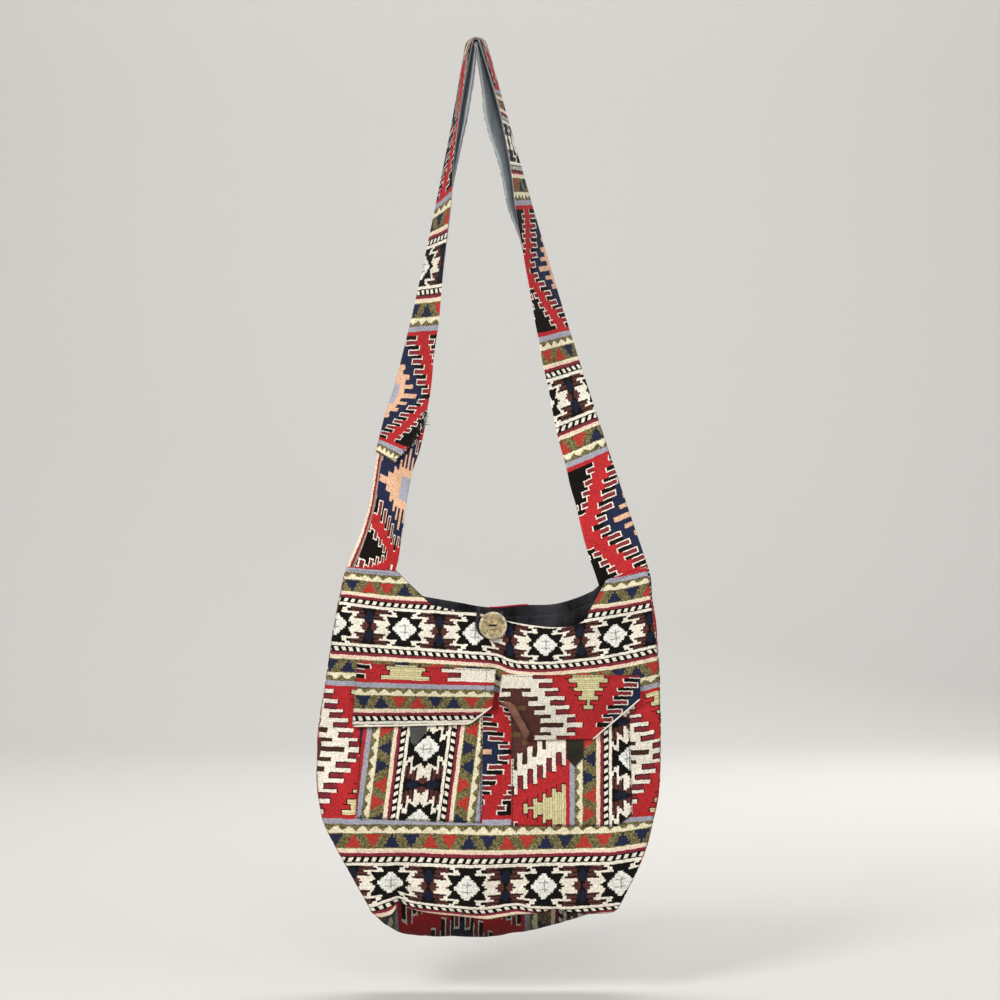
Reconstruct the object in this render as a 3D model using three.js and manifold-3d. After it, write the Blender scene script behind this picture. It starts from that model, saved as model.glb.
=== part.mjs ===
// A soft woven shoulder bag, hung by its strap. Millimetres, Z up, the front faces -Y.
// The origin is where the strap's inner face bears at the top of its loop.
import * as THREE from "three";
import Module from "manifold-3d";

// Cloth and fits
const CLOTH = 1.4; // patterned cotton with its interlining
const LINING = 0.6;
const LINING_GAP = 0.6; // behind the cloth it lines
const LINING_SLACK = 2.2; // and this much more at the middle of a panel
const GAP = 0.35; // between two faces that are sewn or lie together

// Body outline: "drop" is measured down from the outer corner of a peak, sides from the middle line
const STRAP_DROP = 532; // hang point down to the peaks
const BODY_OFFSET = 18; // the body hangs a little to the right of the hang point
const BODY_HEIGHT = 341; // peaks down to the base seam
const LEFT_SIDE = { shoulder: 149, belly: 177, bellyDrop: 202, base: 123, round: 1.7 };
const RIGHT_SIDE = { shoulder: 155, belly: 167, bellyDrop: 162, base: 123, round: 2.6 };
const SEAM_SAG = 7; // the base seam hangs lower in the middle
const TUCK_RISE = 9; // a small pleat lifts the base seam near its left end
const TUCK_AT = -94;
const TUCK_WIDTH = 11;

// Body depth
const BASE_HALF_DEPTH = 36;
const FRONT_BELLY = 17;
const BACK_BELLY = 11;
const SIDE_BULGE = 6; // the side strip swells past the panels
const BASE_SAG_LEFT = 25; // the base strip sags below its seam, more on the left
const BASE_SAG_RIGHT = 9;
const PLEAT_AT = 3; // a soft vertical fold in the front below the button
const PLEAT_DEPTH = 7;
const PLEAT_WIDTH = 8;
const PLEAT_TOP = 66;
const PLEAT_BOTTOM = 150;

// Mouth: how far the two edges hang below the peaks
const PEAK_LEFT = 53; // top edge of the left peak
const PEAK_RIGHT = 42;
const SLOPE_RUN_LEFT = 22; // from the end of the peak's top edge to the mouth
const SLOPE_RUN_RIGHT = 30;
const FRONT_MOUTH_LEFT = 34;
const FRONT_MOUTH_MIDDLE = 48;
const FRONT_MOUTH_RIGHT = 58;
const BACK_MOUTH_LEFT = 30;
const BACK_MOUTH_MIDDLE = 41;
const BACK_MOUTH_RIGHT = 34;

// Strap: one strip folded lengthwise, its crease on the outer side
const STRAP_HALF = 50; // crease to free edge
const STRAP_FOLD = 3; // fold line to the outer face
const PEAK_HALF_DEPTH = STRAP_FOLD + GAP + CLOTH; // the peaks close on the strap's ends
const HANG_RADIUS = 6;
const ARM_BOW = 8;
const TURN_LEFT = 1.7; // how soon each arm turns edge-on on its way up
const TURN_RIGHT = 1.35;
const OPENING_LOW = 0.03; // angle between the halves at the peaks
const OPENING_HIGH = 0.17; // and near the top, where the lining shows
const STRAP_TUCK = 6; // strap ends held between the panels
const SPLICE = 106; // peak up to the hem of the long strip
const SPLICE_LAP = 48;
const SPLICE_NARROWING = 17; // the long strip's front edge draws back at its hem
const SPLICE_GAPE = 3;
const LAP_GAP = 0.6; // between the two strips at the lap
const HEM = 3; // the strap's lining stops this far inside its edges

// Pockets: corners as [from the middle line, drop]
const POUCH_SWELL = 3.2;
const LEFT_POUCH = { topLeft: [-125, 131], topRight: [-11, 129], bottomRight: [-12, 257], bottomLeft: [-137, 251] };
const RIGHT_POUCH = { topLeft: [17, 136], topRight: [135, 135], bottomRight: [138, 258], bottomLeft: [17, 257] };
const POUCH_CUT = { run: 0.13, rise: 12 }; // slanted lower right corner of the right pocket
const LEFT_FLAP = { topLeft: [-137, 96], topRight: [2, 102], bottomRight: [-1, 154], bottomLeft: [-141, 158] };
const LEFT_FLAP_CUT = { run: 0.17, rise: 17 };
const RIGHT_FLAP = { topLeft: [8, 107], topRight: [146, 108], bottomRight: [146, 170], bottomLeft: [4, 171] };
const RIGHT_FLAP_CUT = { run: 0.34, rise: 37 };
const CURL_CUT = { run: 0.2, rise: 46 }; // lower left corner of the right flap, which curls up
const CURL_REACH = 13;
const CURL_RADIUS = 5;
const FLAP_STAND = 5.2; // the flap stands off the panel over the pocket's mouth
const FLAP_FALL = 1.4; // and a little more at its free edge
const TAB = 1.2;
const LEFT_TAB = { topLeft: [-88, 138], topRight: [-66, 134], bottomRight: [-67, 177], bottomLeft: [-84, 178] };
const RIGHT_TAB = { topLeft: [72, 150], topRight: [89, 150], bottomRight: [89, 198], bottomLeft: [72, 198] };
const TAB_POINT = { run: 0.5, rise: 9 };

// Closure
const BUTTON_RADIUS = 14;
const BUTTON_THICK = 4;
const BUTTON_AT = -1;
const BUTTON_DROP = 60;
const DISH = 0.9; // hollow of the button's face
const HOLE_RADIUS = 1.5;
const HOLE_SPACING = 5.7;
const THREAD_RADIUS = 0.9;
const LOOP_THICK = 4.6;
const LOOP_SIDE = -3; // the loop lies a little to the left of the button
const LOOP_RADIUS = 15;

const { sin, cos, PI, max, min, abs, hypot, atan2, asin, exp, sqrt } = Math;
const lerp = THREE.MathUtils.lerp;
const smoothstep = THREE.MathUtils.smoothstep;

// Values from the first mark to the last, through every mark, at most one step apart
function stations(marks, step) {
  const found = [marks[0]];
  for (let i = 1; i < marks.length; i++) {
    const count = max(1, Math.round((marks[i] - marks[i - 1]) / step));
    for (let k = 1; k <= count; k++) found.push(lerp(marks[i - 1], marks[i], k / count));
  }
  return found;
}

// A cloth sheet: the outer face, the inner face one thickness behind it, and the four rims
function sheetSolid(pointAt, us, vs, thickness) {
  const columns = us.length;
  const rows = vs.length;
  const small = 1e-3;
  const outer = [];
  const inner = [];
  const clampU = (u) => min(max(u, us[0]), us[columns - 1]);
  const clampV = (v) => min(max(v, vs[0]), vs[rows - 1]);
  for (const v of vs) {
    for (const u of us) {
      const alongU = pointAt(clampU(u + small), v).sub(pointAt(clampU(u - small), v));
      const alongV = pointAt(u, clampV(v + small)).sub(pointAt(u, clampV(v - small)));
      const point = pointAt(u, v);
      outer.push(point);
      inner.push(point.clone().addScaledVector(alongU.cross(alongV).normalize(), -thickness));
    }
  }
  const index = [];
  const shift = outer.length;
  const at = (i, j) => j * columns + i;
  const quad = (a, b, c, d) => index.push(a, b, c, a, c, d);
  for (let j = 0; j + 1 < rows; j++) {
    for (let i = 0; i + 1 < columns; i++) {
      const [a, b, c, d] = [at(i, j), at(i + 1, j), at(i + 1, j + 1), at(i, j + 1)];
      quad(a, b, c, d);
      quad(c + shift, b + shift, a + shift, d + shift);
    }
  }
  for (let i = 0; i + 1 < columns; i++) {
    const [low, lowNext] = [at(i, 0), at(i + 1, 0)];
    const [high, highNext] = [at(i, rows - 1), at(i + 1, rows - 1)];
    quad(low + shift, lowNext + shift, lowNext, low);
    quad(high, highNext, highNext + shift, high + shift);
  }
  for (let j = 0; j + 1 < rows; j++) {
    const [left, leftNext] = [at(0, j), at(0, j + 1)];
    const [right, rightNext] = [at(columns - 1, j), at(columns - 1, j + 1)];
    quad(left, leftNext, leftNext + shift, left + shift);
    quad(right + shift, rightNext + shift, rightNext, right);
  }
  return new THREE.BufferGeometry().setFromPoints([...outer, ...inner]).setIndex(index);
}

// Body: half widths, depths and the two panels as surfaces
const place = (x, y, drop) => new THREE.Vector3(BODY_OFFSET + x, y, -STRAP_DROP - drop);

function halfWidth(side, drop) {
  const down = min(max(drop, 0), BODY_HEIGHT);
  if (down < side.bellyDrop) {
    return side.shoulder + (side.belly - side.shoulder) * sin((PI / 2) * (down / side.bellyDrop));
  }
  const low = (down - side.bellyDrop) / (BODY_HEIGHT - side.bellyDrop);
  return side.belly - (side.belly - side.base) * low ** side.round;
}

const leftEdge = (drop) => -halfWidth(LEFT_SIDE, drop);
const rightEdge = (drop) => halfWidth(RIGHT_SIDE, drop);
const shareAt = (x, drop) => (x - leftEdge(drop)) / (rightEdge(drop) - leftEdge(drop));
const downShare = (drop) => min(max(drop / BODY_HEIGHT, 0), 1);
const edgeDepth = (drop) => lerp(PEAK_HALF_DEPTH, BASE_HALF_DEPTH, downShare(drop) ** 0.8);

function swellAt(x, drop) {
  const share = min(max(shareAt(x, drop), 0), 1);
  return sin(PI * downShare(drop)) * 4 * share * (1 - share);
}

const plainFront = (x, drop) => -edgeDepth(drop) - FRONT_BELLY * swellAt(x, drop);
const plainBack = (x, drop) => edgeDepth(drop) + BACK_BELLY * swellAt(x, drop);

function pleatAt(x, drop) {
  if (drop <= PLEAT_TOP || drop >= PLEAT_BOTTOM) return 0;
  const fade = sin((PI * (drop - PLEAT_TOP)) / (PLEAT_BOTTOM - PLEAT_TOP));
  return PLEAT_DEPTH * fade * exp(-(((x - PLEAT_AT) / PLEAT_WIDTH) ** 2));
}

// Strap arms: crease line, turn and opening, measured along the strip from the left peak
const foldTop = new THREE.Vector2(0, -HANG_RADIUS);
const foldRadius = HANG_RADIUS + STRAP_FOLD;

function armOf(sign, side, turn) {
  const foot = new THREE.Vector2(BODY_OFFSET + sign * (side.shoulder - STRAP_FOLD), -STRAP_DROP);
  const across = foldTop.clone().sub(foot);
  const lean = atan2(-sign * across.x, across.y) - asin(foldRadius / across.length());
  const length = sqrt(across.lengthSq() - foldRadius ** 2);
  const up = new THREE.Vector3(-sign * sin(lean), 0, cos(lean));
  const inward = new THREE.Vector3(-sign * cos(lean), 0, -sin(lean));
  return { sign, turn, foot: new THREE.Vector3(foot.x, 0, foot.y), lean, length, up, inward };
}

const leftArm = armOf(-1, LEFT_SIDE, TURN_LEFT);
const rightArm = armOf(1, RIGHT_SIDE, TURN_RIGHT);
const bendAngle = PI - leftArm.lean - rightArm.lean;
const bendLength = bendAngle * foldRadius;
const strapLength = leftArm.length + bendLength + rightArm.length;

function armFrame(arm, along) {
  const share = along / arm.length;
  const inside = min(max(share, 0), 1);
  const turn = (PI / 2) * (1 - (1 - inside) ** arm.turn);
  const gape = smoothstep(inside, 0.6, 0.86) * (1 - smoothstep(inside, 0.93, 1));
  const opening = OPENING_LOW * (1 - inside) + OPENING_HIGH * gape;
  const crease = arm.foot.clone().addScaledVector(arm.up, along);
  crease.addScaledVector(arm.inward, ARM_BOW * sin(PI * inside));
  crease.y = (STRAP_HALF / 2) * sin(turn);
  return { crease, inward: arm.inward, turn, opening };
}

function strapFrame(along) {
  if (along <= leftArm.length) return armFrame(leftArm, along);
  if (along >= leftArm.length + bendLength) return armFrame(rightArm, strapLength - along);
  const angle = PI - leftArm.lean - (along - leftArm.length) / foldRadius;
  const outward = new THREE.Vector3(cos(angle), 0, sin(angle));
  const crease = new THREE.Vector3(foldTop.x, STRAP_HALF / 2, foldTop.y).addScaledVector(outward, foldRadius);
  return { crease, inward: outward.clone().negate(), turn: PI / 2, opening: 0 };
}

// A point of the folded strip: across runs from -1 at the back free edge, through the crease, to 1 at the front one
const CREASE_SHARE = 0.12;

function foldedPoint(along, across, fold, frontHalf, backHalf, gape) {
  const frame = strapFrame(along);
  const direction = (turn) => frame.inward.clone().multiplyScalar(cos(turn)).setY(-sin(turn));
  const outwardOf = (turn) => frame.inward.clone().multiplyScalar(-sin(turn)).setY(-cos(turn));
  const front = { along: direction(frame.turn), out: outwardOf(frame.turn) };
  const backTurn = frame.turn - frame.opening;
  const back = { along: direction(backTurn), out: outwardOf(backTurn).negate() };
  if (across > CREASE_SHARE) {
    const share = (across - CREASE_SHARE) / (1 - CREASE_SHARE);
    const point = frame.crease.clone().addScaledVector(front.along, share * frontHalf);
    return point.addScaledVector(front.out, fold + gape * share ** 2);
  }
  if (across < -CREASE_SHARE) {
    const share = (-across - CREASE_SHARE) / (1 - CREASE_SHARE);
    const point = frame.crease.clone().addScaledVector(back.along, share * backHalf);
    return point.addScaledVector(back.out, fold);
  }
  const around = lerp(frame.turn + PI / 2, frame.turn - PI / 2 + PI * 2 - frame.opening,
    (CREASE_SHARE - across) / (2 * CREASE_SHARE));
  return frame.crease.clone().addScaledVector(direction(around), fold);
}

// The top edge of a peak is square to its strap arm; the mouth hangs between the two peaks
function mouthEdge(leftDrop, middleDrop, rightDrop) {
  const leftCorner = -LEFT_SIDE.shoulder + PEAK_LEFT * cos(leftArm.lean);
  const rightCorner = RIGHT_SIDE.shoulder - PEAK_RIGHT * cos(rightArm.lean);
  const points = [
    [-LEFT_SIDE.shoulder, 0],
    [leftCorner, PEAK_LEFT * sin(leftArm.lean)],
    [leftCorner + SLOPE_RUN_LEFT, leftDrop],
    [BUTTON_AT, middleDrop],
    [rightCorner - SLOPE_RUN_RIGHT, rightDrop],
    [rightCorner, PEAK_RIGHT * sin(rightArm.lean)],
    [RIGHT_SIDE.shoulder, 0],
  ];
  const shares = points.map(([x, drop]) => shareAt(x, drop));
  shares[0] = 0;
  shares[shares.length - 1] = 1;
  const sag = middleDrop - lerp(leftDrop, rightDrop, (shares[3] - shares[2]) / (shares[4] - shares[2]));
  const sagScale = sag / ((shares[3] - shares[2]) * (shares[4] - shares[3]));
  const dropAt = (share) => {
    if (share > shares[2] && share < shares[4]) {
      const straight = lerp(leftDrop, rightDrop, (share - shares[2]) / (shares[4] - shares[2]));
      return straight + sagScale * (share - shares[2]) * (shares[4] - share);
    }
    let i = 1;
    while (i < shares.length - 1 && share > shares[i]) i++;
    const part = (share - shares[i - 1]) / (shares[i] - shares[i - 1]);
    return lerp(points[i - 1][1], points[i][1], part);
  };
  return { shares, dropAt };
}

const seamDrop = (share) => BODY_HEIGHT + SEAM_SAG * sin(PI * share);

function tuckLift(share) {
  const x = lerp(-LEFT_SIDE.base, RIGHT_SIDE.base, share);
  return TUCK_RISE * exp(-(((x - TUCK_AT) / TUCK_WIDTH) ** 2));
}

// A panel as a surface of share across and share up, from the base seam to the mouth
function panelAt(mouth, depthAt, liftAt) {
  return (share, up) => {
    const drop = lerp(seamDrop(share) - liftAt(share), mouth.dropAt(share), up);
    const x = lerp(leftEdge(drop), rightEdge(drop), share);
    return place(x, depthAt(x, drop), drop);
  };
}

const frontMouth = mouthEdge(FRONT_MOUTH_LEFT, FRONT_MOUTH_MIDDLE, FRONT_MOUTH_RIGHT);
const backMouth = mouthEdge(BACK_MOUTH_LEFT, BACK_MOUTH_MIDDLE, BACK_MOUTH_RIGHT);
const frontDepth = (x, drop) => plainFront(x, drop) + pleatAt(x, drop);
const level = () => 0;
const frontAt = panelAt(frontMouth, frontDepth, tuckLift);
const backAt = panelAt(backMouth, plainBack, level);
const mirrored = (surface) => (share, up) => surface(1 - share, up);
const behind = (surface, distance) => (share, up) => {
  const small = 1e-3;
  const alongShare = surface(share + small, up).sub(surface(share - small, up));
  const alongUp = surface(share, up + small).sub(surface(share, up - small));
  return surface(share, up).addScaledVector(alongShare.cross(alongUp).normalize(), -distance);
};

const pleatShares = [-2, -1, 0, 1, 2].map((k) => shareAt(PLEAT_AT + k * PLEAT_WIDTH, 110));
const tuckShares = [-1.2, 0, 1.2].map((k) => (TUCK_AT + k * TUCK_WIDTH + LEFT_SIDE.base) /
  (LEFT_SIDE.base + RIGHT_SIDE.base));
const apart = (marks, least) => marks.sort((a, b) => a - b).filter((m, i, all) => i === 0 || m - all[i - 1] > least);
const frontMarks = apart([...frontMouth.shares, ...pleatShares, ...tuckShares], 0.012);
frontMarks[frontMarks.length - 1] = 1;
const frontColumns = stations(frontMarks, 0.055);
const upRows = stations([0, 0.14, 1], 0.072);
const backColumns = stations(apart([...backMouth.shares], 0.012), 0.075);

// Side and base strip: follows the panels' edge, from the left peak round the base to the right peak
const gussetTop = 1 - (STRAP_TUCK + GAP) / BODY_HEIGHT;

function edgePath(columns, rows) {
  const below = rows.filter((up) => up < gussetTop);
  const side = [...below, gussetTop];
  return [
    ...side.slice().reverse().map((up) => ({ share: 0, up })),
    ...columns.slice(1, -1).map((share) => ({ share, up: 0 })),
    ...side.map((up) => ({ share: 1, up })),
  ];
}

const untucked = panelAt(frontMouth, plainFront, level);
const rim = edgePath(frontColumns, upRows).map((stop) => {
  const front = frontAt(stop.share, stop.up);
  const { x, z } = untucked(stop.share, stop.up);
  const depth = edgeDepth(-STRAP_DROP - z);
  return { ...stop, x, z, depth, tuckX: front.x - x, tuckZ: front.z - z,
    tuckDepth: edgeDepth(-STRAP_DROP - front.z) - depth };
});

rim.forEach((stop, i) => {
  const before = rim[max(i - 1, 0)];
  const after = rim[min(i + 1, rim.length - 1)];
  const long = hypot(after.x - before.x, after.z - before.z);
  stop.outX = (after.z - before.z) / long;
  stop.outZ = -(after.x - before.x) / long;
  const low = stop.up > 0 ? 0 : sin(PI * stop.share) ** 0.35;
  stop.bulge = lerp(SIDE_BULGE, lerp(BASE_SAG_LEFT, BASE_SAG_RIGHT, stop.share), low);
});

// across runs from 0 at the back seam to 1 at the front one
function gussetAt(inset, endRoom) {
  return (across, along) => {
    const i = min(Math.floor(along), rim.length - 2);
    const part = along - i;
    const mix = (key) => lerp(rim[i][key], rim[i + 1][key], part);
    const toFront = 0.5 - 0.5 * cos(PI * across);
    const depth = mix("depth") + mix("tuckDepth") * toFront - endRoom;
    const out = GAP - inset + mix("bulge") * max(sin(PI * across), 0) ** 0.75;
    return new THREE.Vector3(
      mix("x") + mix("tuckX") * toFront + mix("outX") * out,
      depth * cos(PI * across),
      mix("z") + mix("tuckZ") * toFront + mix("outZ") * out,
    );
  };
}

const cols = (count) => stations([0, 1], 1 / count);
const stops = rim.map((_, i) => i);
const sideRoom = rim.findIndex((stop) => -STRAP_DROP - stop.z > 60);
const liningStops = stops.slice(sideRoom, rim.length - sideRoom);

// Pockets, flaps and tabs lie on the front panel; a shape has four corners and may have slanted lower ones
function outlineAt(shape, leftCut, rightCut) {
  return (u, v) => {
    const cut = leftCut.rise * max(0, 1 - u / leftCut.run) + rightCut.rise * max(0, 1 - (1 - u) / rightCut.run);
    const across = (key, t) => lerp(shape[key + "Left"][t], shape[key + "Right"][t], u);
    const x = lerp(across("top", 0), across("bottom", 0), v);
    const drop = lerp(across("top", 1), across("bottom", 1) - cut, v);
    return { x, drop };
  };
}

const SQUARE = { run: 1, rise: 0 };

function pouchStand(shape, x, drop) {
  const top = (shape.topLeft[1] + shape.topRight[1]) / 2;
  const bottom = (shape.bottomLeft[1] + shape.bottomRight[1]) / 2;
  const v = min(max((drop - top) / (bottom - top), 0), 1);
  const left = lerp(shape.topLeft[0], shape.bottomLeft[0], v);
  const right = lerp(shape.topRight[0], shape.bottomRight[0], v);
  const u = min(max((x - left) / (right - left), 0), 1);
  return GAP + POUCH_SWELL * sin(PI * u) * sin(PI * (0.1 + 0.9 * v)) ** 0.8;
}

function pouchSolid(shape, cut) {
  const outline = outlineAt(shape, SQUARE, cut);
  const pointAt = (u, up) => {
    const { x, drop } = outline(u, 1 - up);
    return place(x, plainFront(x, drop) - pouchStand(shape, x, drop) - CLOTH, drop);
  };
  return sheetSolid(pointAt, stations([0, 1 - cut.run, 1], 0.125), cols(8), CLOTH);
}

function flapSolid(shape, leftCut, rightCut, curls) {
  const outline = outlineAt(shape, leftCut, rightCut);
  const runX = leftCut.run * (shape.bottomRight[0] - shape.bottomLeft[0]);
  const slant = hypot(runX, leftCut.rise);
  const pointAt = (u, up) => {
    const v = 1 - up;
    const flat = outline(u, v);
    let { x, drop } = flat;
    let stand = GAP + CLOTH + FLAP_STAND * smoothstep(v, 0, 0.55) + FLAP_FALL * v * v;
    if (curls) {
      const cornerX = shape.bottomLeft[0];
      const cornerDrop = shape.bottomLeft[1] - leftCut.rise;
      const inside = ((x - cornerX) * leftCut.rise - (drop - cornerDrop) * runX) / slant;
      const rolled = max(0, CURL_REACH - inside) * smoothstep(drop, cornerDrop - 16, cornerDrop + 6);
      const angle = rolled / CURL_RADIUS;
      const moved = rolled - CURL_RADIUS * sin(angle);
      x += (moved * leftCut.rise) / slant;
      drop -= (moved * runX) / slant;
      stand += CURL_RADIUS * (1 - cos(angle));
    }
    return place(x, plainFront(x, drop) - stand, drop);
  };
  const columns = curls ? stations([0, leftCut.run, 1 - rightCut.run, 1], 0.066) : stations([0, 1 - rightCut.run, 1], 0.085);
  return sheetSolid(pointAt, columns, cols(curls ? 9 : 6), CLOTH);
}

function tabSolid(shape, pouch) {
  const outline = outlineAt(shape, TAB_POINT, TAB_POINT);
  const pointAt = (u, up) => {
    const { x, drop } = outline(u, 1 - up);
    return place(x, plainFront(x, drop) - pouchStand(pouch, x, drop) - CLOTH - GAP - TAB, drop);
  };
  return sheetSolid(pointAt, cols(4), cols(4), TAB);
}

// Solids joined or cut
const wasm = await Module();
wasm.setup();

function solidOf(geometry) {
  const flat = geometry.index ? geometry.toNonIndexed() : geometry;
  const keys = new Map();
  const points = [];
  const triangles = [];
  const position = flat.getAttribute("position");
  for (let i = 0; i < position.count; i++) {
    const point = [position.getX(i), position.getY(i), position.getZ(i)];
    const key = point.map((value) => Math.round(value * 1e4)).join();
    if (!keys.has(key)) {
      keys.set(key, points.length / 3);
      points.push(...point);
    }
    triangles.push(keys.get(key));
  }
  const kept = [];
  for (let i = 0; i < triangles.length; i += 3) {
    const [a, b, c] = triangles.slice(i, i + 3);
    if (a !== b && b !== c && a !== c) kept.push(a, b, c);
  }
  return new wasm.Manifold(new wasm.Mesh({
    numProp: 3, vertProperties: new Float32Array(points), triVerts: new Uint32Array(kept),
  }));
}

function geometryOf(solid) {
  const mesh = solid.getMesh();
  return new THREE.BufferGeometry()
    .setAttribute("position", new THREE.BufferAttribute(mesh.vertProperties, 3))
    .setIndex(new THREE.BufferAttribute(mesh.triVerts, 1));
}

// Button: turned disc with a dished face and two holes, sewn on with a thread shank
const buttonFront = plainFront(BUTTON_AT, BUTTON_DROP);
const buttonTilt = Math.atan(plainFront(BUTTON_AT, BUTTON_DROP - 0.5) - plainFront(BUTTON_AT, BUTTON_DROP + 0.5));
const shank = 2 * GAP + LOOP_THICK + 1;
const buttonCentre = place(BUTTON_AT, buttonFront - shank * cos(buttonTilt), BUTTON_DROP - shank * sin(buttonTilt));

function buttonGeometry() {
  const edge = 1.2;
  const profile = [
    [0, 0],
    [BUTTON_RADIUS - edge, 0],
    [BUTTON_RADIUS, edge],
    [BUTTON_RADIUS, BUTTON_THICK - edge],
    [BUTTON_RADIUS - edge, BUTTON_THICK],
    [BUTTON_RADIUS - 3 * edge, BUTTON_THICK - DISH / 2],
    [0, BUTTON_THICK - DISH],
  ].map(([radius, height]) => new THREE.Vector2(radius, height));
  let solid = solidOf(new THREE.LatheGeometry(profile, 32));
  for (const side of [-1, 1]) {
    const hole = new THREE.CylinderGeometry(HOLE_RADIUS, HOLE_RADIUS, 3 * BUTTON_THICK, 12);
    hole.translate((side * HOLE_SPACING) / 2, 0, 0);
    solid = solid.subtract(solidOf(hole));
  }
  return geometryOf(solid);
}

function threadGeometry() {
  const top = BUTTON_THICK - DISH + THREAD_RADIUS + GAP;
  let solid = solidOf(new THREE.CylinderGeometry(2.4, 2.4, shank - 2 * GAP, 12).translate(0, -shank / 2, 0));
  const reach = HOLE_SPACING / 2;
  for (const side of [-1, 1]) {
    const leg = new THREE.CylinderGeometry(THREAD_RADIUS, THREAD_RADIUS, top + 1, 10);
    leg.translate(side * reach, top / 2 - 0.5, 0);
    solid = solid.add(solidOf(leg));
  }
  const foot = new THREE.BoxGeometry(2 * reach + 2 * THREAD_RADIUS, 0.8, 2 * THREAD_RADIUS);
  const stitch = new THREE.CapsuleGeometry(THREAD_RADIUS, 2 * reach, 3, 10).rotateZ(PI / 2);
  solid = solid.add(solidOf(foot.translate(0, -GAP - 0.4, 0)));
  return geometryOf(solid.add(solidOf(stitch.translate(0, top, 0))));
}

// Loop: from the back edge of the mouth, over the front edge and round the button's shank
function loopGeometry() {
  const middle = BUTTON_AT + LOOP_SIDE;
  const off = LOOP_THICK / 2 + GAP;
  const legX = 0.62 * LOOP_RADIUS;
  const frontEdge = frontMouth.dropAt(shareAt(middle, FRONT_MOUTH_MIDDLE));
  const front = plainFront(middle, frontEdge);
  const back = plainBack(middle, BACK_MOUTH_MIDDLE) - CLOTH - LINING_GAP - LINING_SLACK - LINING;
  const crest = frontEdge - 2 * LOOP_THICK;
  const leg = (side) => [
    place(middle + side * (legX - 3), back - off, BACK_MOUTH_MIDDLE + LOOP_THICK),
    place(middle + side * (legX - 2), back - 2 * off, crest + 0.6 * LOOP_THICK),
    place(middle + side * (legX - 1), lerp(back, front, 0.5), crest),
    place(middle + side * legX, front + LOOP_THICK, crest + 0.3 * LOOP_THICK),
    place(middle + side * (legX + 1), front - off - 0.5, frontEdge - 0.7 * LOOP_THICK),
  ];
  const ring = stations([-0.68 * PI, 0.68 * PI], 0.16 * PI).map((turn) => {
    const x = middle + LOOP_RADIUS * sin(turn);
    const drop = BUTTON_DROP + 2 + LOOP_RADIUS * cos(turn);
    return place(x, plainFront(x, drop) - off, drop);
  });
  const path = new THREE.CatmullRomCurve3([...leg(-1), ...ring, ...leg(1).reverse()], false, "centripetal");
  const circle = new THREE.Shape().absarc(0, 0, LOOP_THICK / 2, 0, 2 * PI);
  return new THREE.ExtrudeGeometry(circle, { steps: 36, extrudePath: path, curveSegments: 4, bevelEnabled: false });
}

// Colours stand for the woven pattern's ground and the plain pieces
const finish = (colour, roughness) => new THREE.MeshStandardMaterial({ color: colour, roughness, metalness: 0 });
const woven = finish(0xa9322f, 0.95);
const wovenDark = finish(0x7d2a2c, 0.95);
const lining = finish(0x2e3136, 0.95);
const slate = finish(0x555d66, 0.95);
const shell = finish(0xb9a57c, 0.5);
const thread = finish(0x24231f, 0.9);

const bag = new THREE.Group();
bag.name = "crossbody_bag";

function add(name, geometry, material) {
  const mesh = new THREE.Mesh(geometry, material);
  mesh.name = name;
  bag.add(mesh);
  return mesh;
}

add("front_panel", sheetSolid(frontAt, frontColumns, upRows, CLOTH), woven);
add("back_panel", sheetSolid(mirrored(backAt), backColumns.map((s) => 1 - s).reverse(), cols(9), CLOTH), woven);
add("gusset", sheetSolid((across, along) => gussetAt(0, 0)(1 - across, along), cols(6), stops, CLOTH), wovenDark);

const liningIn = (surface) => (share, up) => {
  const slack = LINING_SLACK * sin(PI * share);
  return behind(surface, CLOTH + LINING_GAP + slack)(lerp(0.02, 0.98, share), lerp(0.04, 0.95, up));
};
const liningColumns = stations(apart([...frontMouth.shares, ...pleatShares], 0.012), 0.1);
const backLiningColumns = stations(apart([...backMouth.shares], 0.012), 0.1);
add("front_lining", sheetSolid(liningIn(frontAt), liningColumns, cols(12), LINING), lining);
add("back_lining", sheetSolid(liningIn(mirrored(backAt)),
  backLiningColumns.map((s) => 1 - s).reverse(), cols(8), LINING), lining);
const liningRoom = 2 * CLOTH + LINING + LINING_GAP + GAP;
add("gusset_lining", sheetSolid((across, along) => gussetAt(CLOTH + LINING_GAP, liningRoom)(1 - across, along), cols(3),
  liningStops, LINING), lining);

// Strap pieces: the long strip lies outside the short one where they lap
const contour = [-1, -0.7, -0.4, -CREASE_SHARE, -CREASE_SHARE / 3, CREASE_SHARE / 3, CREASE_SHARE, 0.4, 0.7, 1];
const lapEnd = SPLICE + SPLICE_LAP;
const bendEnd = leftArm.length + bendLength;
const strapRows = [
  ...stations([-STRAP_TUCK, HEM - STRAP_TUCK, SPLICE], 28),
  ...stations([SPLICE, lapEnd, lapEnd + 2 * CLOTH, lapEnd + 33], 16).slice(1),
  ...stations([lapEnd + 33, leftArm.length], 36).slice(1),
  ...stations([leftArm.length, bendEnd], bendLength / 7).slice(1),
  ...stations([bendEnd, strapLength + STRAP_TUCK - HEM, strapLength + STRAP_TUCK], 36).slice(1),
];

function coverPoint(across, along) {
  const lap = 1 - smoothstep(along, lapEnd + CLOTH, lapEnd + 33);
  const hem = 1 - smoothstep(along, SPLICE, lapEnd);
  const fold = STRAP_FOLD + (CLOTH + LAP_GAP) * lap;
  return foldedPoint(along, across, fold, STRAP_HALF - SPLICE_NARROWING * hem, STRAP_HALF, SPLICE_GAPE * hem);
}

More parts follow.
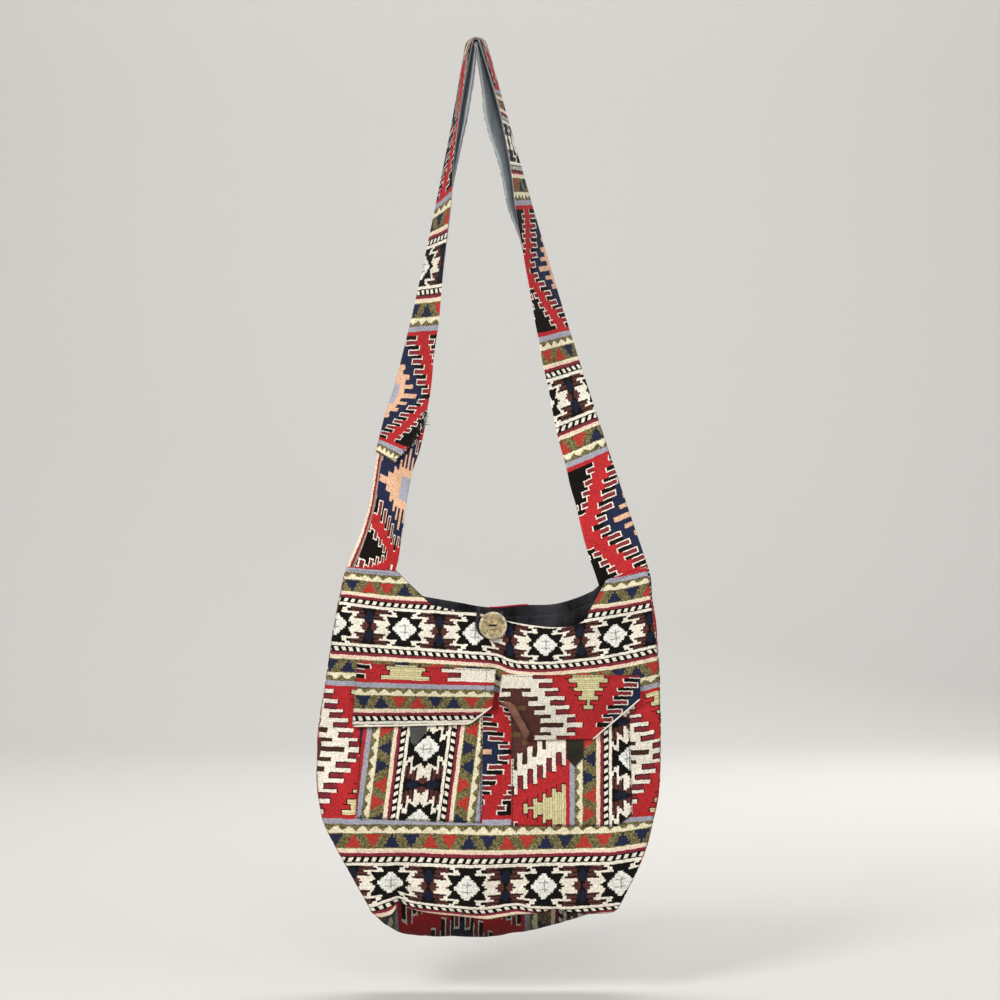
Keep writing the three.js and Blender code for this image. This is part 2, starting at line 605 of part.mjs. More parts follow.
const lowerPoint = (across, along) => foldedPoint(along, across, STRAP_FOLD, STRAP_HALF, STRAP_HALF, 0);
const innerFold = STRAP_FOLD - CLOTH - LINING_GAP;
const innerPoint = (across, along) => foldedPoint(along, across, innerFold, STRAP_HALF, STRAP_HALF, 0);
const innerContour = contour.map((across) => Math.sign(across) * min(abs(across), 1 - HEM / STRAP_HALF));
const upTo = (limit) => strapRows.filter((row) => row <= limit + 1e-6);
const from = (limit) => strapRows.filter((row) => row >= limit - 1e-6);
add("strap_cover", sheetSolid(coverPoint, contour, from(SPLICE), CLOTH), woven);
add("strap_lower_left", sheetSolid(lowerPoint, contour, upTo(lapEnd), CLOTH), wovenDark);
add("strap_lining", sheetSolid(innerPoint, innerContour, strapRows.slice(1, -1), LINING), slate);

add("left_pouch", pouchSolid(LEFT_POUCH, SQUARE), woven);
add("left_flap", flapSolid(LEFT_FLAP, SQUARE, LEFT_FLAP_CUT, false), woven);
add("left_tab", tabSolid(LEFT_TAB, LEFT_POUCH), slate);
add("right_pouch", pouchSolid(RIGHT_POUCH, POUCH_CUT), woven);
add("right_flap", flapSolid(RIGHT_FLAP, CURL_CUT, RIGHT_FLAP_CUT, true), woven);
add("right_tab", tabSolid(RIGHT_TAB, RIGHT_POUCH), slate);

for (const [name, geometry, material] of [
  ["button", buttonGeometry(), shell],
  ["button_thread", threadGeometry(), thread],
]) {
  const piece = add(name, geometry, material);
  piece.position.copy(buttonCentre);
  piece.rotation.x = PI - buttonTilt;
}
add("closure_loop", loopGeometry(), lining);

export default bag;
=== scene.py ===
# %% [markdown]
# # A woven shoulder bag, hung by its strap
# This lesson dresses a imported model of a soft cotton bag. The model holds the sizes: every piece made here
# takes the place of one plain solid, in the same frame, in metres. The bag is all cloth, so the lesson is
# about three things: how a flat cut of cloth becomes a hung surface, how a woven pattern is drawn by
# arithmetic on the cloth's own threads, and how small sewing details make it believable.

# %% Load the frame
import math

import bmesh
import bpy
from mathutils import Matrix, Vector, noise


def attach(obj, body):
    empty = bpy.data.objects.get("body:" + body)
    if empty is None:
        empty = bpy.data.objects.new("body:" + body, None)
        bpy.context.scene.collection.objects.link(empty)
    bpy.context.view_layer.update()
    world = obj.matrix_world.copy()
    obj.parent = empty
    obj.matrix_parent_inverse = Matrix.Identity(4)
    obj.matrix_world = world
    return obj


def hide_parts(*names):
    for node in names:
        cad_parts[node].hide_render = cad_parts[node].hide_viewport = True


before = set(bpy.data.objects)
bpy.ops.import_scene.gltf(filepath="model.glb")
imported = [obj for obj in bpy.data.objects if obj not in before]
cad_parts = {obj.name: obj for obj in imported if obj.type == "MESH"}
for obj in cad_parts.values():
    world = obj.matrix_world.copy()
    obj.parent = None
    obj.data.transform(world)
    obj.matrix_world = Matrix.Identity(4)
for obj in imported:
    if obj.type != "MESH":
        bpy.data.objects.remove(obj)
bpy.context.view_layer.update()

scene = bpy.context.scene
MM = 0.001
print("nodes to dress:", ", ".join(sorted(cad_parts)))

# %% [markdown]
# ## Camera
# The picture was taken level, from straight in front. A camera could sit close with a wide lens, but a
# longer distance keeps the two arms of the strap and the body in proportion, so it stands three metres away
# and its angle of view takes in one metre of height at the cloth.

# %% Camera
CAMERA_DISTANCE = 3.0
VIEW_HEIGHT = 1.0
VIEW_MIDDLE = Vector((0.024, 0.0, -0.465))
FRONT_OF_CLOTH = 0.025

camera_data = bpy.data.cameras.new("camera")
camera_data.sensor_width = 36
camera_data.angle = 2 * math.atan(VIEW_HEIGHT / 2 / (CAMERA_DISTANCE - FRONT_OF_CLOTH))
camera = bpy.data.objects.new("camera", camera_data)
camera.location = VIEW_MIDDLE - Vector((0, CAMERA_DISTANCE, 0))
camera.rotation_euler = (math.radians(90), 0, 0)
scene.collection.objects.link(camera)
scene.camera = camera
print("camera angle", round(math.degrees(camera_data.angle), 2))

# %% [markdown]
# ## Small helpers for shapes
# Soft shapes are mixtures of a few easy curves. These helpers give a straight mix, a limit, an eased step
# and a smooth line through measured points.

# %% Curves
def lerp(start, end, share):
    return start + (end - start) * share


def clamp(value, low=0.0, high=1.0):
    return max(low, min(high, value))


def eased(value, low, high):
    share = clamp((value - low) / (high - low))
    return share * share * (3 - 2 * share)


def through(points, x):
    """The height at x of a smooth line through measured points, level beyond its ends."""
    x = clamp(x, points[0][0], points[-1][0])
    i = 1
    while i < len(points) - 1 and x > points[i][0]:
        i += 1

    def slope(k):
        (x0, y0), (x1, y1) = points[max(k - 1, 0)], points[min(k + 1, len(points) - 1)]
        return (y1 - y0) / (x1 - x0)

    (x0, y0), (x1, y1) = points[i - 1], points[i]
    run = x1 - x0
    t = (x - x0) / run
    rise = t * t * (3 - 2 * t)
    return lerp(y0, y1, rise) + run * t * (1 - t) * (slope(i - 1) * (1 - t) - slope(i) * t)


print("halfway eased:", eased(0.5, 0, 1), "; smooth line:", round(through([(0, 0), (1, 1), (2, 0)], 0.5), 2))

# %% [markdown]
# ## Sockets that can be added and multiplied
# A woven pattern is a long sum of yes and no questions about where a thread lies. Wiring that by hand would
# hide the idea, so this class wraps one output of a node and lets Python's own operators add the Math
# nodes. A comparison gives a mask of 0 or 1, a product means "and", and the bar means "or". The helpers
# after it turn a display colour into a dye and start a new finish.

# %% Socket class
class Socket:
    """One output of a node tree, used like a number."""

    def __init__(self, tree, output):
        self.tree = tree
        self.output = output

    def node(self, kind, settings=None, inputs=None, output=0):
        made = self.tree.nodes.new(kind)
        for name, value in (settings or {}).items():
            if name == "stops":
                fill_ramp(made.color_ramp, value)
            else:
                setattr(made, name, value)
        for name, value in (inputs or {}).items():
            if isinstance(value, Socket):
                self.tree.links.new(value.output, made.inputs[name])
            else:
                made.inputs[name].default_value = value
        return Socket(self.tree, made.outputs[output])

    def other(self, place):
        """Another output of the same node."""
        return Socket(self.tree, self.output.node.outputs[place])

    def feed(self, shader_input):
        self.tree.links.new(self.output, shader_input)

    def math(self, operation, *values):
        return self.node("ShaderNodeMath", {"operation": operation}, dict(enumerate(values)))

    def __add__(self, other):
        return self.math("ADD", self, other)

    __radd__ = __add__

    def __mul__(self, other):
        return self.math("MULTIPLY", self, other)

    __rmul__ = __mul__

    def __sub__(self, other):
        return self.math("SUBTRACT", self, other)

    def __rsub__(self, other):
        return self.math("SUBTRACT", other, self)

    def __truediv__(self, other):
        return self.math("DIVIDE", self, other)

    def __lt__(self, other):
        return self.math("LESS_THAN", self, other)

    def __gt__(self, other):
        return self.math("GREATER_THAN", self, other)

    def __or__(self, other):
        return self.math("MAXIMUM", self, other)

    def __mod__(self, period):
        return self.math("FLOORED_MODULO", self, period)

    def __abs__(self):
        return self.math("ABSOLUTE", self)

    def snap(self, step):
        return self.math("SNAP", self, step)

    def floor(self):
        return self.math("FLOOR", self)

    def between(self, low, high):
        return (self > low) * (self < high)

    def lay(self, top, below):
        """Lays one colour over another where this mask is 1."""
        return self.node("ShaderNodeMix", {"data_type": "RGBA"}, {0: self, 6: below, 7: top}, output=2)

    def shade(self, colour):
        """Darkens or lightens a colour by this factor."""
        settings = {"data_type": "RGBA", "blend_type": "MULTIPLY"}
        return self.node("ShaderNodeMix", settings, {0: 1.0, 6: colour, 7: self}, output=2)


def fill_ramp(ramp, stops):
    while len(ramp.elements) < len(stops):
        ramp.elements.new(0.5)
    for element, (position, colour) in zip(ramp.elements, stops):
        element.position = position
        element.color = colour


def dye(red, green, blue):
    """A display colour, 0 to 255, as the linear colour that shaders use."""
    def linear(value):
        share = value / 255
        return share / 12.92 if share <= 0.04045 else ((share + 0.055) / 1.055) ** 2.4
    return (linear(red), linear(green), linear(blue), 1.0)


SPECULAR = 0.04


def new_finish(name, roughness, sheen=0.0):
    """A material, a socket to start its nodes from, and the inputs of its one Principled shader."""
    material = bpy.data.materials.new(name)
    material.use_nodes = True
    inputs = material.node_tree.nodes["Principled BSDF"].inputs
    inputs["Roughness"].default_value = roughness
    inputs["Sheen Weight"].default_value = sheen
    inputs["Specular IOR Level"].default_value = SPECULAR
    return material, Socket(material.node_tree, None), inputs


print("dye of a mid grey:", [round(v, 3) for v in dye(128, 128, 128)[:3]])

# %% [markdown]
# ## The woven cloth
# The bag is cut from one kilim-patterned cotton. Its pattern repeats every 253 mm up the cloth and 288 mm
# across. It could be painted as an image, but a formula keeps every thread sharp at any distance. Each cut
# of cloth carries a UV map named cloth, in millimetres of that cloth, so a pocket turned sideways only
# needs other UVs. First come the sizes and dyes of the bands, measured outwards from the middle of a row of
# diamonds.

# %% Pattern sizes and dyes
REPEAT_UP = 253
REPEAT_ACROSS = 288
THREAD_ACROSS = 1.2
THREAD_UP = 1.0
DIAMONDS_APART = 72
MOTIF_EDGE = 19
WHITE_EDGE = 22.5
DASH_EDGE = 28
ROSE_EDGE = 31
CREAM_EDGE = 35.5
TRIANGLE_EDGE = 49
SAW_EDGE = 57
LAVENDER_EDGE = 62
FIELD_ROW = 9.6
FIELD_ROWS = 6.5
LOZENGE_AT = 120
LOZENGE_B = LOZENGE_AT - REPEAT_ACROSS / 2

RED = dye(168, 42, 45)
RUST_RED = dye(164, 54, 46)
ROSE = dye(118, 42, 50)
WHITE = dye(220, 213, 198)
CREAM = dye(216, 207, 176)
PEACH = dye(206, 164, 134)
PINK_CREAM = dye(226, 192, 176)
OLIVE = dye(70, 66, 38)
PALE_OLIVE = dye(126, 116, 80)
LAVENDER = dye(150, 150, 162)
NAVY = dye(35, 40, 63)
DEEP_NAVY = dye(27, 31, 47)
BLACK = dye(20, 18, 16)
MAROON = dye(80, 47, 44)
BROWN = dye(62, 40, 34)
EARTH = dye(96, 74, 52)
YELLOW = dye(204, 196, 152)
RIB = dye(172, 162, 116)
GREY_WHITE = dye(216, 216, 208)
GREY = dye(140, 140, 140)
DARK_LINE = dye(52, 18, 24)
print("cloth repeat", REPEAT_ACROSS, "by", REPEAT_UP, "mm")

# %% [markdown]
# The row of diamonds is a set of stepped rectangles, mirrored left and right and up and down. So it takes
# one quarter only: a is the distance from a diamond's middle across the cloth, d the distance up it.

# %% Diamond row
COMB = [
    (18.8, 26, 0, 1),
    (16.5, 28.4, 0.9, 3.1),
    (14, 29.2, 3, 4.6),
    (15.6, 30.8, 4.5, 6.6),
    (16.6, 19.8, 6.5, 9.1),
    (18, 22.2, 9, 12),
    (7, 25, 11.9, 14.4),
    (8.4, 12.8, 14.3, 16.8),
    (12, 17.2, 16.7, 19.5),
]


def diamond_row(u, d):
    h = abs(u % DIAMONDS_APART - DIAMONDS_APART / 2)
    a = DIAMONDS_APART / 2 - h
    colour = (a > 18).lay(MAROON, BLACK)
    lines = (a > 20) * (d > 6.5) * (d % 4 < 1.4)
    colour = lines.lay(BLACK, colour)
    colour = (h < 1.2 + d * 0.33).lay(BLACK, colour)
    lump = h < 5 - abs(d - 10) * 0.7
    colour = lump.lay(DEEP_NAVY, colour)
    comb = None
    for near, far, low, high in COMB:
        bar = a.between(near, far) * d.between(low - 0.01, high)
        comb = bar if comb is None else comb | bar
    colour = comb.lay(WHITE, colour)
    stepped = a + d.snap(2.0)
    colour = ((stepped < 12.2) * (d < 12)).lay(GREY_WHITE, colour)
    cross = ((u % DIAMONDS_APART < THREAD_ACROSS) * (d < 6)) | d.between(3, 4) * (a < 4.5)
    return (cross * (stepped < 8)).lay(GREY, colour)


# %% [markdown]
# The plain bands between the diamonds and the red field are stripes, slanted dashes, small triangles and a
# sawtooth edge. They read the distance from the diamond row, so one formula serves above and below it.

# %% Bands
DASH_PERIOD = REPEAT_ACROSS / 39
TRIANGLE_APART = 18
SAW_PERIOD = REPEAT_ACROSS / 23


def bands(u, fold, straight_u, olive, colour):
    colour = (fold < LAVENDER_EDGE).lay(LAVENDER, colour)
    colour = (fold < SAW_EDGE).lay(olive, colour)
    tooth = abs(u % SAW_PERIOD - SAW_PERIOD / 2) / (SAW_PERIOD / 2)
    colour = (fold < TRIANGLE_EDGE + 2.2 + tooth * 4.4).lay(CREAM, colour)
    colour = (fold < TRIANGLE_EDGE).lay(olive, colour)
    rise = ((fold - CREAM_EDGE - 0.9) / 12).snap(0.25)
    step = ((u + TRIANGLE_APART / 2) / TRIANGLE_APART).floor()
    hanging = step % 2
    wide = hanging * rise + (1 - hanging) * (0.75 - rise)
    side = abs((u + TRIANGLE_APART / 2) % TRIANGLE_APART - TRIANGLE_APART / 2)
    triangle = (side < 1.6 + wide * 7) * fold.between(CREAM_EDGE + 0.9, TRIANGLE_EDGE - 0.9)
    blue = step % 4 < 1.5
    colour = triangle.lay(blue.lay(NAVY, RUST_RED), colour)
    colour = (fold < CREAM_EDGE).lay(CREAM, colour)
    colour = (fold < ROSE_EDGE + 1.8).lay(PINK_CREAM, colour)
    colour = (fold < ROSE_EDGE).lay(ROSE, colour)
    colour = (fold < DASH_EDGE).lay(BLACK, colour)
    slant = straight_u - (fold - DASH_EDGE) * 0.5
    dash = (slant % DASH_PERIOD < 3.9) * fold.between(WHITE_EDGE + 0.9, DASH_EDGE - 0.7)
    colour = dash.lay(WHITE, colour)
    return (fold < WHITE_EDGE).lay(WHITE, colour)


# %% [markdown]
# The red field holds two great combed lozenges and two kinds of stepped tree. All of them are built on the
# same rows, close to ten millimetres high: a row of teeth, then a row of gaps. For each figure the formula
# says how far it reaches in row n, and the thin lines round it come from asking the same question a thread
# further out.

# %% Red field
def figure(colour, reach, rows, end, depth, body_dye, tooth_dye, line_dye, gap_dye=ROSE):
    """One combed figure: its gaps, its teeth, its body and its outline."""
    gap, row_line = rows
    inner = end - depth
    colour = (gap * (reach < end)).lay(gap_dye, colour)
    tooth = (1 - gap) * (reach < end)
    colour = tooth.lay(tooth_dye, colour)
    colour = (reach < inner).lay(body_dye, colour)
    tips = (1 - gap) * reach.between(end, end + 1.1)
    roots = gap * reach.between(inner, inner + 1.1)
    sides = row_line * reach.between(inner, end)
    return (tips | roots | sides).lay(line_dye, colour)


def red_field(u, v, fold):
    m = REPEAT_UP / 2 - fold
    row = (m + 0.75 * FIELD_ROW) % FIELD_ROW
    n = ((m + 0.75 * FIELD_ROW) / FIELD_ROW).floor()
    gap = row < FIELD_ROW / 2
    row_line = (row < THREAD_UP) | row.between(FIELD_ROW / 2, FIELD_ROW / 2 + THREAD_UP)
    rows = (gap, row_line)
    first = n < 1.5
    s = (u - LOZENGE_AT + REPEAT_ACROSS / 2) % REPEAT_ACROSS - REPEAT_ACROSS / 2
    a = abs(s)
    b = REPEAT_ACROSS / 2 - a
    yellow_tree = abs(s - REPEAT_ACROSS / 4)
    black_tree = abs(s + REPEAT_ACROSS / 4)
    tree_row = (n > 1.5) * ((1 - gap) | (n > 2.5))
    margin = (n > FIELD_ROWS) * 90
    no_tree = (1 - tree_row) * 60 + margin

    yellow = (v % 2.4 < 0.9).lay(RIB, YELLOW)
    colour = figure(RED, yellow_tree, rows, n * 4.8 - 5 - no_tree, 8.5, yellow, yellow, DARK_LINE, RED)
    colour = figure(colour, black_tree, rows, n * 4.6 - 5 - no_tree, 8, BLACK, BLACK, WHITE)
    white_end = 65 - n * 5.8 + (n < 0.5) * 1.5 - margin
    colour = figure(colour, a, rows, white_end, 13.5 - first * 5, WHITE, WHITE, DARK_LINE)
    bar = (1 - gap) * (a < 42 - n * 6.8 + (n < 0.5) * 5) * (n < 4.5)
    colour = bar.lay(BROWN, colour)
    colour = ((a < 24.5) * (a < 30.6 - n * 6.3)).lay(MAROON, colour)
    cross = ((a < 10) * (abs(n - 2) < 0.5) * (1 - gap)) | (a < 3) * (m < 17)
    colour = cross.lay(EARTH, colour)

    colour = figure(colour, b, rows, 63.5 - n * 5.4 - margin, 14.5 - first * 4, NAVY, BLACK, WHITE)
    peach_bar = (1 - gap) * (b < 42 - n * 8)
    peach_core = (b < 21) * (b < 34 - n * 6)
    colour = (peach_bar | peach_core).lay(PEACH, colour)
    return ((b < 12) * (m < 12)).lay(LAVENDER, colour)


# %% [markdown]
# The finish puts the three together on snapped thread coordinates. Every thread crossing gets its own
# slight shade from a white noise, a slow noise fades the cloth a little, and a bump gives each crossing its
# knuckle. Light and shade are painted into the cuts: the strap's copy is painted lighter, the flaps' copy
# is darkened as painted shade, and the side strip has painted shade towards its base. So the finish takes
# how light the cut is painted, and for the side strip how dark the painted shade at its base is.

# %% Kilim finish
KILIM_ROUGHNESS = 0.92
KILIM_SHEEN = 0.03
SWAY = 1.8
# Distances from the middle of the base, in mm, over which the side strip's painted shade fades out.
PAINTED_SHADE_SPAN = (100.0, 170.0)


def kilim_finish(name, painted_lightness, painted_base_lightness=None):
    material, start, inputs = new_finish(name, KILIM_ROUGHNESS, KILIM_SHEEN)
    threads = start.node("ShaderNodeUVMap", {"uv_map": "cloth"})
    fine_u = start.node("ShaderNodeSeparateXYZ", None, {0: threads})
    fine_v = fine_u.other(1)
    wander = start.node("ShaderNodeTexNoise", {"noise_dimensions": "2D"},
                        {"Vector": threads, "Scale": 0.11, "Detail": 2.0})
    sway = (wander - 0.5) * SWAY
    one_way = {"noise_dimensions": "1D"}
    warp = start.node("ShaderNodeTexWhiteNoise", one_way, {"W": fine_v.snap(THREAD_UP)})
    weft = start.node("ShaderNodeTexWhiteNoise", one_way, {"W": fine_u.snap(THREAD_ACROSS)})
    loose_u = fine_u + sway + (warp - 0.5) * 0.8
    loose_v = fine_v - sway * 0.7 + (weft - 0.5) * 0.5
    u = loose_u.snap(THREAD_ACROSS) + THREAD_ACROSS / 2
    v = loose_v.snap(THREAD_UP) + THREAD_UP / 2
    fold = abs((v + REPEAT_UP / 2) % REPEAT_UP - REPEAT_UP / 2)

    crossing = start.node("ShaderNodeCombineXYZ", None, {0: u, 1: v})
    speck = start.node("ShaderNodeTexWhiteNoise", {"noise_dimensions": "2D"}, {"Vector": crossing})
    fading = start.node("ShaderNodeTexNoise", {"noise_dimensions": "2D"},
                        {"Vector": crossing, "Scale": 0.02, "Detail": 4.0})
    olive = speck.lay(PALE_OLIVE, OLIVE)
    colour = bands(u, fold, fine_u + sway, olive, red_field(u, v, fold))
    colour = (fold < MOTIF_EDGE).lay(diamond_row(u, fold), colour)
    # Painted shade: the side strip is darker near the middle of its base, where it faces down.
    if painted_base_lightness:
        from_base = abs(fine_v - REPEAT_UP / 2)
        painted_lightness = start.node(
            "ShaderNodeMapRange", {"interpolation_type": "SMOOTHSTEP"},
            {"Value": from_base, "From Min": PAINTED_SHADE_SPAN[0], "From Max": PAINTED_SHADE_SPAN[1],
             "To Min": painted_base_lightness, "To Max": painted_lightness})
    # Painted light and shade: the whole tone is scaled by how light the cut is painted.
    tone = (0.54 + speck * 0.48 + fading * 0.46) * painted_lightness
    tone.shade(colour).feed(inputs["Base Color"])

    knuckle = abs(start.math("SINE", fine_u * (math.pi / THREAD_ACROSS)))
    ridge = abs(start.math("SINE", fine_v * (math.pi / THREAD_UP)))
    height = knuckle * ridge + speck * 0.7
    bump = start.node("ShaderNodeBump", None, {"Strength": 0.6, "Distance": 0.0006, "Height": height})
    bump.feed(inputs["Normal"])
    print(name, "has", len(start.tree.nodes), "nodes")
    return material


kilim = kilim_finish("woven_cotton", 1.0)
# The strap's copy is painted lighter, and the flaps' copy carries painted shade.
strap_kilim_painted_light = kilim_finish("woven_cotton_strap_painted_light", 1.16)
flap_kilim_painted_shade = kilim_finish("woven_cotton_flap_painted_shade", 0.84)
# The side strip's copy has painted shade towards the middle of its base.
side_kilim_painted_shade = kilim_finish("woven_cotton_side_painted_shade", 0.95, 0.36)

# %% [markdown]
# ## Plain finishes
# The lining is a dark plain cotton, the strap's lining a slate one, and the tabs a soft napped cloth. These,
# the hems and the thread are all a fine grid of threads with lint and slow fading, so one function makes
# them. In the two linings the fading is drawn out downwards into streaks, painted shade and painted
# highlights of hanging folds.

# %% Plain cloth finishes
def plain_cloth(name, low_dye, high_dye, thread, roughness, sheen, painted_fold_streak=1.0, spread=0.18):
    """A plain weave; below 1 the fading is drawn out downwards into streaks of painted fold shade and
    highlights, and a smaller spread deepens it.
    """
    material, start, inputs = new_finish(name, roughness, sheen)
    spot = start.node("ShaderNodeTexCoord", output=3)
    painted_fold_streaks = start.node("ShaderNodeMapping", None, {"Vector": spot, "Scale": (1, 1, painted_fold_streak)})
    slow = start.node("ShaderNodeTexNoise", None,
                      {"Vector": painted_fold_streaks, "Scale": 45.0, "Detail": 5.0, "Roughness": 0.6})
    lint = start.node("ShaderNodeTexNoise", None, {"Vector": spot, "Scale": 1400.0, "Detail": 2.0})
    mix = slow * 0.6 + lint * 0.4
    stops = [(0.5 - spread, low_dye), (0.5 + spread, high_dye)]
    colour = start.node("ShaderNodeValToRGB", {"stops": stops}, {"Fac": mix})
    colour.feed(inputs["Base Color"])
    along_x = start.node("ShaderNodeSeparateXYZ", None, {0: spot})
    weft = abs(start.math("SINE", along_x * (math.pi / thread)))
    warp = abs(start.math("SINE", along_x.other(2) * (math.pi / thread)))
    bump = start.node("ShaderNodeBump", None,
                      {"Strength": 0.4, "Distance": 0.0004, "Height": weft * warp + lint * 0.8})
    bump.feed(inputs["Normal"])
    return material


# In the two linings the downward streaks and the narrow spread are painted shade and painted highlights of
# folds.
lining_cloth = plain_cloth("dark_lining", dye(6, 6, 7), dye(60, 60, 64), 0.0008, 0.95, 0.05, 0.35, 0.12)
slate_cloth = plain_cloth("slate_lining", dye(118, 126, 131), dye(182, 189, 193), 0.0009, 0.95, 0.12,
                          0.5, 0.14)
brown_cloth = plain_cloth("flap_lining", dye(62, 36, 31), dye(132, 92, 78), 0.0008, 0.9, 0.1, 1.0, 0.14)
tab_light = plain_cloth("tab_cloth", dye(50, 50, 49), dye(88, 87, 84), 0.0011, 1.0, 0.2)
tab_dark = plain_cloth("tab_cloth_dark", dye(20, 21, 15), dye(50, 51, 42), 0.0011, 1.0, 0.15)
thread_finish = plain_cloth("thread", dye(22, 20, 18), dye(52, 48, 42), 0.0005, 0.9, 0.1)
red_hem = plain_cloth("red_hem", dye(110, 22, 38), dye(168, 44, 62), 0.0009, 0.95, 0.1)
white_thread = plain_cloth("white_thread", dye(190, 182, 168), dye(236, 230, 214), 0.0005, 0.9, 0.2)
print("plain finishes made")

# %% [markdown]
# ## The body as a surface
# The bag's front is one panel that hangs from two peaks and sags into a belly. It could be simulated, but
# the photograph fixes its outline closely, so it is described by curves: a half width for every drop below
# the peaks, a depth at the side seam and a swell in the middle. The same curves shape the solids of the
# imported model. x is measured from the body's middle line and drop down from the peaks, both in millimetres.

# %% Body curves
STRAP_DROP = 532
BODY_OFFSET = 18
BODY_HEIGHT = 341
LEFT_SIDE = {"shoulder": 149, "base": 123}
RIGHT_SIDE = {"shoulder": 155, "base": 123}
LEFT_LINE = [(0, 148), (23, 153), (58, 160), (98, 166), (163, 175), (213, 176.5), (252, 171), (279, 158),
             (317, 136.5), (341, 123), (350, 120)]
RIGHT_LINE = [(0, 154), (29, 157), (85, 163.5), (113, 165.5), (213, 165.5), (252, 159), (290, 148),
              (329, 129.5), (341, 123), (350, 121)]
CLOTH = 1.4
LINING = 0.6
GAP = 0.35
STRAP_FOLD = 3
PEAK_HALF_DEPTH = STRAP_FOLD + GAP + CLOTH
BASE_HALF_DEPTH = 36
FRONT_BELLY = 17
BACK_BELLY = 11
SEAM_SAG = 7
FRONT_SEAM = [(-126, 341), (-118, 348), (-110, 350), (-102, 347), (-96, 339), (-93, 333), (-89, 336),
              (-82, 340), (-64, 344.5), (-24, 349), (-4, 351), (6, 349), (27, 346), (46, 344), (56, 341),
              (62, 340), (68, 342), (89, 344), (118, 344), (126, 338)]


def place(x, y, drop):
    return Vector((BODY_OFFSET + x, y, -STRAP_DROP - drop))


def down_share(drop):
    return clamp(drop / BODY_HEIGHT)


def left_edge(drop):
    return -through(LEFT_LINE, drop)


def right_edge(drop):
    return through(RIGHT_LINE, drop)


def share_at(x, drop):
    return (x - left_edge(drop)) / (right_edge(drop) - left_edge(drop))


def edge_depth(drop):
    return lerp(PEAK_HALF_DEPTH, BASE_HALF_DEPTH, down_share(drop) ** 0.8)


def swell(x, drop):
    share = clamp(share_at(x, drop))
    return math.sin(math.pi * down_share(drop)) * 4 * share * (1 - share)


print("belly width", round(right_edge(180) - left_edge(180)), "mm")

# %% [markdown]
# Cloth that has been carried keeps soft folds. Each fold here is a listed ridge between two points,
# and a little smooth noise breaks the evenness. Both fade out towards the seams, so that sewn edges still
# meet.

# %% Soft folds
FRONT_FOLDS = [
    ((-128, 22), (-70, 118), 9, 2.6),
    ((-96, 40), (-20, 92), 8, 2.0),
    ((126, 26), (66, 112), 9, 2.4),
    ((96, 66), (22, 84), 7, 1.8),
    ((-168, 210), (-100, 318), 11, 3.0),
    ((160, 190), (96, 318), 11, 3.0),
    ((-60, 270), (70, 284), 12, 1.8),
    ((-120, 300), (-40, 330), 8, 2.0),
    ((20, 322), (110, 306), 8, 1.8),
]
BACK_FOLDS = [
    ((-120, 30), (-40, 170), 13, 4.0),
    ((110, 34), (50, 190), 13, 4.0),
    ((-150, 190), (-40, 300), 15, 3.5),
    ((150, 170), (30, 306), 15, 3.5),
    ((-60, 120), (70, 140), 18, 3.0),
]


def fold_height(folds, x, drop):
    total = 0
    for (x0, d0), (x1, d1), width, height in folds:
        run_x = x1 - x0
        run_d = d1 - d0
        length = math.hypot(run_x, run_d)
        along = ((x - x0) * run_x + (drop - d0) * run_d) / length ** 2
        aside = ((x - x0) * run_d - (drop - d0) * run_x) / length
        if 0 < along < 1:
            total += height * math.sin(math.pi * along) * math.exp(-(aside / width) ** 2)
    return total


def crumple(x, drop, seed):
    broad = noise.noise(Vector((x / 46, drop / 38, seed)))
    small = noise.noise(Vector((x / 17, drop / 15, seed + 7)))
    return 1.7 * broad + 0.55 * small


print("a fold's height at its middle", round(fold_height(FRONT_FOLDS, -99, 70), 1), "mm")

# %% [markdown]
# Near a seam the cloth lies still and rolls over the edge, and the button's lashing draws it in. Each of
# these is one short function. front_y and back_y add them up to the depth of a panel.

# %% Panel depths
STILL_EDGE = 26
ROLL_EDGE = 11
ROLL_HEIGHT = 4
FLAT_PEAK = 70
BUTTON_AT = -1
BUTTON_DROP = 60
PULL_DEPTH = 4.4
PULL_REACH = 24
BACK_CRUMPLE = 1.4


def to_seams(x, drop):
    """How far a spot lies from the nearer side seam and from the lower one."""
    return min(x - left_edge(drop), right_edge(drop) - x), BODY_HEIGHT + SEAM_SAG - drop


def seam_fade(x, drop):
    """0 on the sewn edges of a panel, 1 well inside it."""
    side, foot = to_seams(x, drop)
    return eased(side, 0, STILL_EDGE) * eased(foot, 0, STILL_EDGE)


def seam_roll(x, drop):
    """The panel rolls over towards its seams."""
    side, foot = to_seams(x, drop)
    rise = (1 - math.exp(-max(0, side) / ROLL_EDGE)) * (1 - math.exp(-max(0, foot) / ROLL_EDGE))
    return ROLL_HEIGHT * rise * eased(drop, 0, FLAT_PEAK)


def button_pull(x, drop):
    """The lashing draws the cloth in round the button."""
    away = math.hypot(x - BUTTON_AT, drop - BUTTON_DROP)
    return PULL_DEPTH * math.exp(-(away / PULL_REACH) ** 2)


def front_y(x, drop):
    soft = fold_height(FRONT_FOLDS, x, drop) + crumple(x, drop, 0.3)
    hang = -edge_depth(drop) - FRONT_BELLY * swell(x, drop) - seam_roll(x, drop)
    return hang - soft * seam_fade(x, drop) + button_pull(x, drop)


def back_y(x, drop):
    soft = fold_height(BACK_FOLDS, x, drop) + BACK_CRUMPLE * crumple(x, drop, 5.1)
    hang = edge_depth(drop) + BACK_BELLY * swell(x, drop) + seam_roll(x, drop)
    return hang + soft * seam_fade(x, drop)


print("front at the belly", round(front_y(0, 190), 1), "mm")

# %% [markdown]
# A pleat falls from the button, and the lower seam has caught a tuck. The pockets span both, so only the
# front panel itself adds them.

